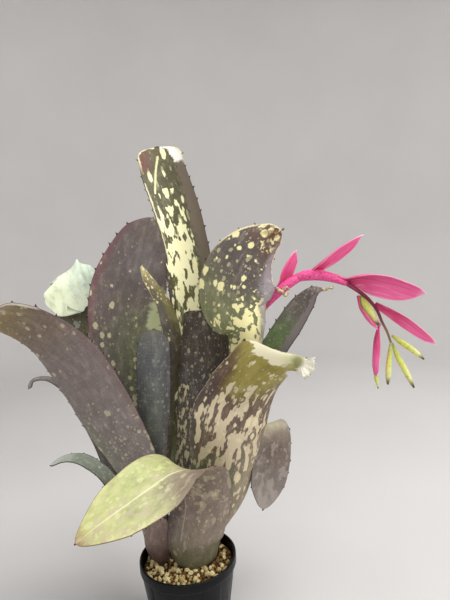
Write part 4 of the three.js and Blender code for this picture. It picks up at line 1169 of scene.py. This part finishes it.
def grain_tree():
    """Geometry Nodes: one lumpy grain on each point, by its own size."""
    tree = bpy.data.node_groups.new("Grit grains", "GeometryNodeTree")
    for name, side, kind in (
        ("Geometry", "INPUT", "Geometry"), ("Detail", "INPUT", "Int"), ("Lump size", "INPUT", "Float"),
        ("Lump depth", "INPUT", "Float"), ("Seed", "INPUT", "Int"), ("Finish", "INPUT", "Material"),
        ("Geometry", "OUTPUT", "Geometry"),
    ):
        tree.interface.new_socket(name=name, in_out=side, socket_type="NodeSocket" + kind)
    entry = tree.nodes.new("NodeGroupInput").outputs

    def node(kind, inputs, output=0, **settings):
        return add(tree, kind, inputs, output, **settings)

    def kept(name):
        return node("GeometryNodeInputNamedAttribute", {"Name": name}, data_type="FLOAT")

    def chance(low, high):
        inputs = {"Min": low, "Max": high, "Seed": entry["Seed"]}
        return node("FunctionNodeRandomValue", inputs, data_type="FLOAT_VECTOR")

    ball = node("GeometryNodeMeshIcoSphere", {"Radius": 1, "Subdivisions": entry["Detail"]})
    scale = vectors("SCALE", chance((0.7, 0.7, 0.6), (1.15, 1.15, 0.95)), kept("size"))
    inputs = {"Points": entry["Geometry"], "Instance": ball, "Scale": scale}
    inputs["Rotation"] = chance((0, 0, 0), (6.3, 6.3, 6.3))
    placed = node("GeometryNodeInstanceOnPoints", inputs)
    inputs = {"Geometry": placed, "Name": "shade", "Value": kept("shade")}
    shaded = node("GeometryNodeStoreNamedAttribute", inputs, domain="INSTANCE", data_type="FLOAT")
    real = node("GeometryNodeRealizeInstances", {"Geometry": shaded})
    inputs = {"Vector": node("GeometryNodeInputPosition", {}), "Scale": entry["Lump size"]}
    lumps = vectors("SUBTRACT", node("ShaderNodeTexNoise", inputs, 1), (0.5, 0.5, 0.5))
    lumps = vectors("SCALE", lumps, entry["Lump depth"])
    moved = node("GeometryNodeSetPosition", {"Geometry": real, "Offset": lumps})
    finished = node("GeometryNodeSetMaterial", {"Geometry": moved, "Material": entry["Finish"]})
    join(finished, tree.nodes.new("NodeGroupOutput").inputs["Geometry"])
    return tree


def set_inputs(modifier, **values):
    """Sets a Geometry Nodes modifier's inputs by their names."""
    for item in modifier.node_group.interface.items_tree:
        name = item.name.replace(" ", "_")
        if item.in_out == "INPUT" and name in values:
            modifier[item.identifier] = values[name]


def grit_pieces():
    tree = grain_tree()
    for (name, *_, detail, look), grains in zip(GRAINS, grain_places()):
        piece = new_piece("grit_" + name, grains[:, :3], [])
        keep_values(piece.data, size=grains[:, 3] * MM, shade=grains[:, 4])
        scatter = piece.modifiers.new("Grains", "NODES")
        scatter.node_group = tree
        finish = granule_finish(*look)
        set_inputs(scatter, Detail=detail, Seed=len(name), Finish=finish, **GRAIN_LUMPS)
        settle(piece)
        stand_in(piece, "grit")


# The comb-like fan at the spout's end: its middle, radius, angles below level as seen from the
# front, rings of places, half its thickness, its cup, and its teeth's length and number
FAN_MIDDLE = (105.5, -43.5, 263.5)
FAN_RADIUS = 11.5
FAN_FROM, FAN_TO = -24, 78
FAN_RINGS = 7
FAN_HALF = 0.3
FAN_CUP = 4
FAN_TOOTH = 2.8
FAN_TEETH = 10


def fan_piece(finish):
    """A shallow cupped fan of pale tissue with a comb of pointed teeth."""
    turns = np.radians(np.linspace(FAN_FROM, FAN_TO, 2 * FAN_TEETH + 1))
    middle, half = Vector(FAN_MIDDLE), Vector((0, FAN_HALF, 0))
    grid = []
    for ring in range(1, FAN_RINGS + 1):
        share = ring / FAN_RINGS
        for k, turn in enumerate(turns):
            reach = FAN_RADIUS * ring / FAN_RINGS
            if ring == FAN_RINGS and k % 2:
                reach += FAN_TOOTH * (0.7 + 0.3 * sin(k * 1.7))
            cup = -FAN_CUP * share**2 + 0.5 * sin(k * 1.1) * share**2
            grid.append(middle + Vector((reach * cos(turn), cup, -reach * sin(turn))))
    points = [place - half for place in grid] + [place + half for place in grid]
    points += [middle - half, middle + half]
    n, total = len(turns), len(grid)
    front, back = 2 * total, 2 * total + 1
    faces = sheet_faces(FAN_RINGS, n)
    for k in range(n - 1):
        outer = total - n + k
        faces += [(front, k + 1, k), (back, total + k, total + k + 1)]
        faces.append((outer, outer + 1, total + outer + 1, total + outer))
    faces += [(front, 0, total, back), (back, total + n - 1, n - 1, front)]
    stand_in(new_piece("spout_fan", points, faces, finish), "leaf_olive")


# Small round extras of the flower head and the right leaf: slot, and rows of x, y, z and radius
SCRAPS = {
    "stalk_sleeve_low": ("bract", [
        (86, 9, 308, 2.6), (94, 8.2, 316.4, 3.8), (104, 7, 325, 4.5), (113, 6, 330.4, 4.1),
        (121, 5, 333.4, 2.8)]),
    "stalk_sleeve_high": ("bract", [
        (113, 6, 330.6, 2.8), (121, 5, 333.6, 4.7), (131, 3.8, 334.2, 5.2), (141, 2.4, 332.4, 4.6),
        (150, 0.2, 329, 3.6), (159, -2.4, 324.6, 2.3)]),
    "hanging_bud_tip": ("bud", [
        (178.2, -12.6, 243, 1.2), (178.8, -13, 238, 1.6), (179.5, -13, 233.5, 1.1),
        (180, -13, 230, 0.4)]),
    "withered_scrap": ("leaf_dry", [
        (96, 5, 325, 0.5), (98, 3.4, 321.6, 1.9), (101, 2.6, 320.4, 1.3), (103.6, 2.4, 317.2, 1.9),
        (106.4, 2.2, 318.6, 0.5)]),
    "withered_strand": ("leaf_dry", [
        (101, 2.6, 320, 0.5), (103, 2.4, 323.4, 1.3), (105.6, 2.2, 324.2, 0.8), (107.6, 2, 321.4, 0.4)]),
    "right_leaf_curl": ("leaf_dry", [
        (146, 46, 318.8, 1.9), (150, 45.6, 317.6, 1.4), (153.4, 45, 319.8, 1.1),
        (156.6, 44.6, 318.8, 0.8), (158.4, 44.4, 322.8, 0.4)]),
}

# A wide withered sheath that wraps the offset's foot, with no leaf of its own above it
OFFSET_SHEATH = {
    "slot": "leaf_grey_purple", "tip": 14, "blunt": 1.8, "teeth": 0, "columns": 21, "wave": 0.8,
    "stations": [
        (-28.5, 2.8, 64, 22, 126, 80, 0), (-29, 0.5, 74, 25, 120, 80, 0),
        (-29.5, -3.3, 86, 30, 111, 80, 0), (-28, -5.5, 98, 32, 108, 80, 0),
        (-26, -7.5, 110, 30, 100, 80, 2), (-24, -9, 121, 24, 86, 80, 4)]}
BRACT_BLADE = {
    "slot": "bract", "blunt": 1.6, "teeth": 0, "thick": 0.62, "spine": 1.5, "columns": 21, "wave": 0.25,
}


# Stage, lights and camera


def stage(finish):
    """A seamless pale floor that curves up all round into a wall. It is laid out in metres."""
    floor, height, bend, segments, steps = 1.3, 2.4, 0.7, 96, 12
    profile = [(r, 0) for r in np.linspace(0.05, floor, 6)]
    for k in range(1, steps + 1):
        turn = pi / 2 * k / steps
        profile.append((floor + bend * sin(turn), bend * (1 - cos(turn))))
    profile.append((floor + bend, height))
    points = [(0, 0, 0)]
    for r, z in profile:
        points += [(r * cos(tau * k / segments), r * sin(tau * k / segments), z) for k in range(segments)]
    around = [(k, (k + 1) % segments) for k in range(segments)]
    faces = [(0, 1 + k, 1 + n) for k, n in around]
    for a in range(1, len(points) - segments, segments):
        b = a + segments
        faces += [(a + k, b + k, b + n, a + n) for k, n in around]
    new_piece("backdrop", np.array(points) / MM, faces, finish)


def lamp(name, place, aim, size, power, colour=(1, 1, 1)):
    light = bpy.data.lights.new(name, "AREA")
    light.shape, light.size, light.energy, light.color = "DISK", size, power, colour
    holder = bpy.data.objects.new(name, light)
    holder.location = place
    holder.rotation_euler = (Vector(aim) - Vector(place)).to_track_quat("-Z", "Y").to_euler()
    holder.visible_camera = False
    bpy.context.collection.objects.link(holder)


# The camera's place, lens and sensor in millimetres, and what is right and down in the picture
CAMERA_PLACE = (48, -408.5, 340.2)
CAMERA_LENS = 27
CAMERA_SENSOR = 36
CAMERA_RIGHT = (0.9984, -0.0033, -0.0557)
CAMERA_DOWN = (-0.0558, -0.0592, -0.9967)


def set_camera():
    camera = bpy.data.cameras.new("Camera")
    camera.sensor_width, camera.lens, camera.clip_start = CAMERA_SENSOR, CAMERA_LENS, 0.01
    holder = bpy.data.objects.new("Camera", camera)
    right, down = Vector(CAMERA_RIGHT).normalized(), Vector(CAMERA_DOWN)
    down = (down - right * down.dot(right)).normalized()
    turn = Matrix((right, -down, down.cross(right))).transposed().to_4x4()
    holder.matrix_world = Matrix.Translation(Vector(CAMERA_PLACE) * MM) @ turn
    bpy.context.collection.objects.link(holder)
    bpy.context.scene.camera = holder


# Making

for name, leaf in LEAVES.items():
    blade_piece(name, leaf, leaf_finish(name), name)
blade_piece("offset_sheath", OFFSET_SHEATH, leaf_finish("offset_sheath"))

bract_look = bract_finish("d02c70", "f064a2", "fbb0cc")
for name, (fuller, stations) in BRACTS.items():
    swell = (0.2, 0, 0.5, -fuller, 0.85, -fuller, 1, 0)
    bract = {**BRACT_BLADE, "trim_low": swell, "trim_high": swell, "stations": stations}
    blade_piece(name, bract, bract_look, name)

stalk_look = grained_finish(
    "Flower stalk skin", 0.4, (260, 3, 0.6), "along",
    (0, "8a9450", 0.5, "b8a888", 0.58, "cf9c9c", 0.64, "d8487c", 0.76, "cc3a70", 0.82, "8a2e50",
     0.93, "6a2840", 1, "8a7a4a"),
    (0.0004, 0.35), (0.4, 0.7, 0.3, "5a2036"), Subsurface_Weight=0.1,
)
stalk_piece("flower_stalk_skin", STALK, "stalk", stalk_look, ["flower_stalk"], sides=20, spacing=2.2)
bud_look = grained_finish(
    "Bud skin", 0.36, (420, 3, 0.6), "along",
    (0, "8f9a40", 0.12, "b5bd50", 0.5, "cdd070", 0.8, "d2d090", 0.9, "7c7a4c", 0.95, "26262a", 1, "1c1c22"),
    (0.0003, 0.3), (0.45, 0.75, 0.5, "6f7c34"), Subsurface_Weight=0.15,
)
for name, rows in BUDS.items():
    stalk_piece(name + "_skin", rows, "bud", bud_look, [name], sides=24, rib=0.05)

pot_piece(pot_finish())
soil_stops = (0.3, "1c140e", 0.5, "3a2a1c", 0.65, "5c4630", 0.8, "8a7450")
soil_look = grained_finish(
    "Substrate", 0.95, (420, 4, 0.7), None, soil_stops, (0.0015, 0.9), Specular_IOR_Level=0.15
)
soil_piece(soil_look)
grit_pieces()
# The fan's near-white is its pale dry tissue together with painted strong light falling on it.
fan_piece(dry_finish("Fan tissue", "f0eee0", "d8d0b0"))
scrap_looks = {
    "bract": dry_finish("Sleeve skin", "ec6aa2", "d2347a"), "bud": bud_look,
    "leaf_dry": dry_finish("Withered scrap", "d8cba4", "6a4c30"),
}
for name, (slot, rows) in SCRAPS.items():
    stalk_piece(name, rows, slot, scrap_looks[slot])
bark = granule_finish("Stem bark", "7a6450", "4a3626", "2c1e14")
offset_stem(bark)
frame_stem = bpy.data.objects["stem_rosette"]
frame_stem.data.materials.clear()
frame_stem.data.materials.append(bark)

paper = Coat("Pale backdrop", 0.95)
paper.colour = blend(cloud(paper.place(), 3, 3), linear("b9b7b6"), linear("c4c2c0"))
stage(paper.done())
lamp("Sky light", (0.5, -0.4, 2.2), (0, 0, 0.2), 1.3, 40)
lamp("Right light", (1.5, -0.4, 1.4), (0, 0, 0.25), 0.9, 24, (1, 0.98, 0.95))
lamp("Front light", (-0.5, -1.6, 1), (0, 0, 0.2), 1.4, 9)

world = bpy.data.worlds.new("Studio")
world.use_nodes = True
sky = world.node_tree.nodes["Background"].inputs
sky["Color"].default_value = (0.8, 0.82, 0.86, 1)
sky["Strength"].default_value = 0.22
bpy.context.scene.world = world
bpy.context.scene.view_settings.view_transform = "Standard"
set_camera()
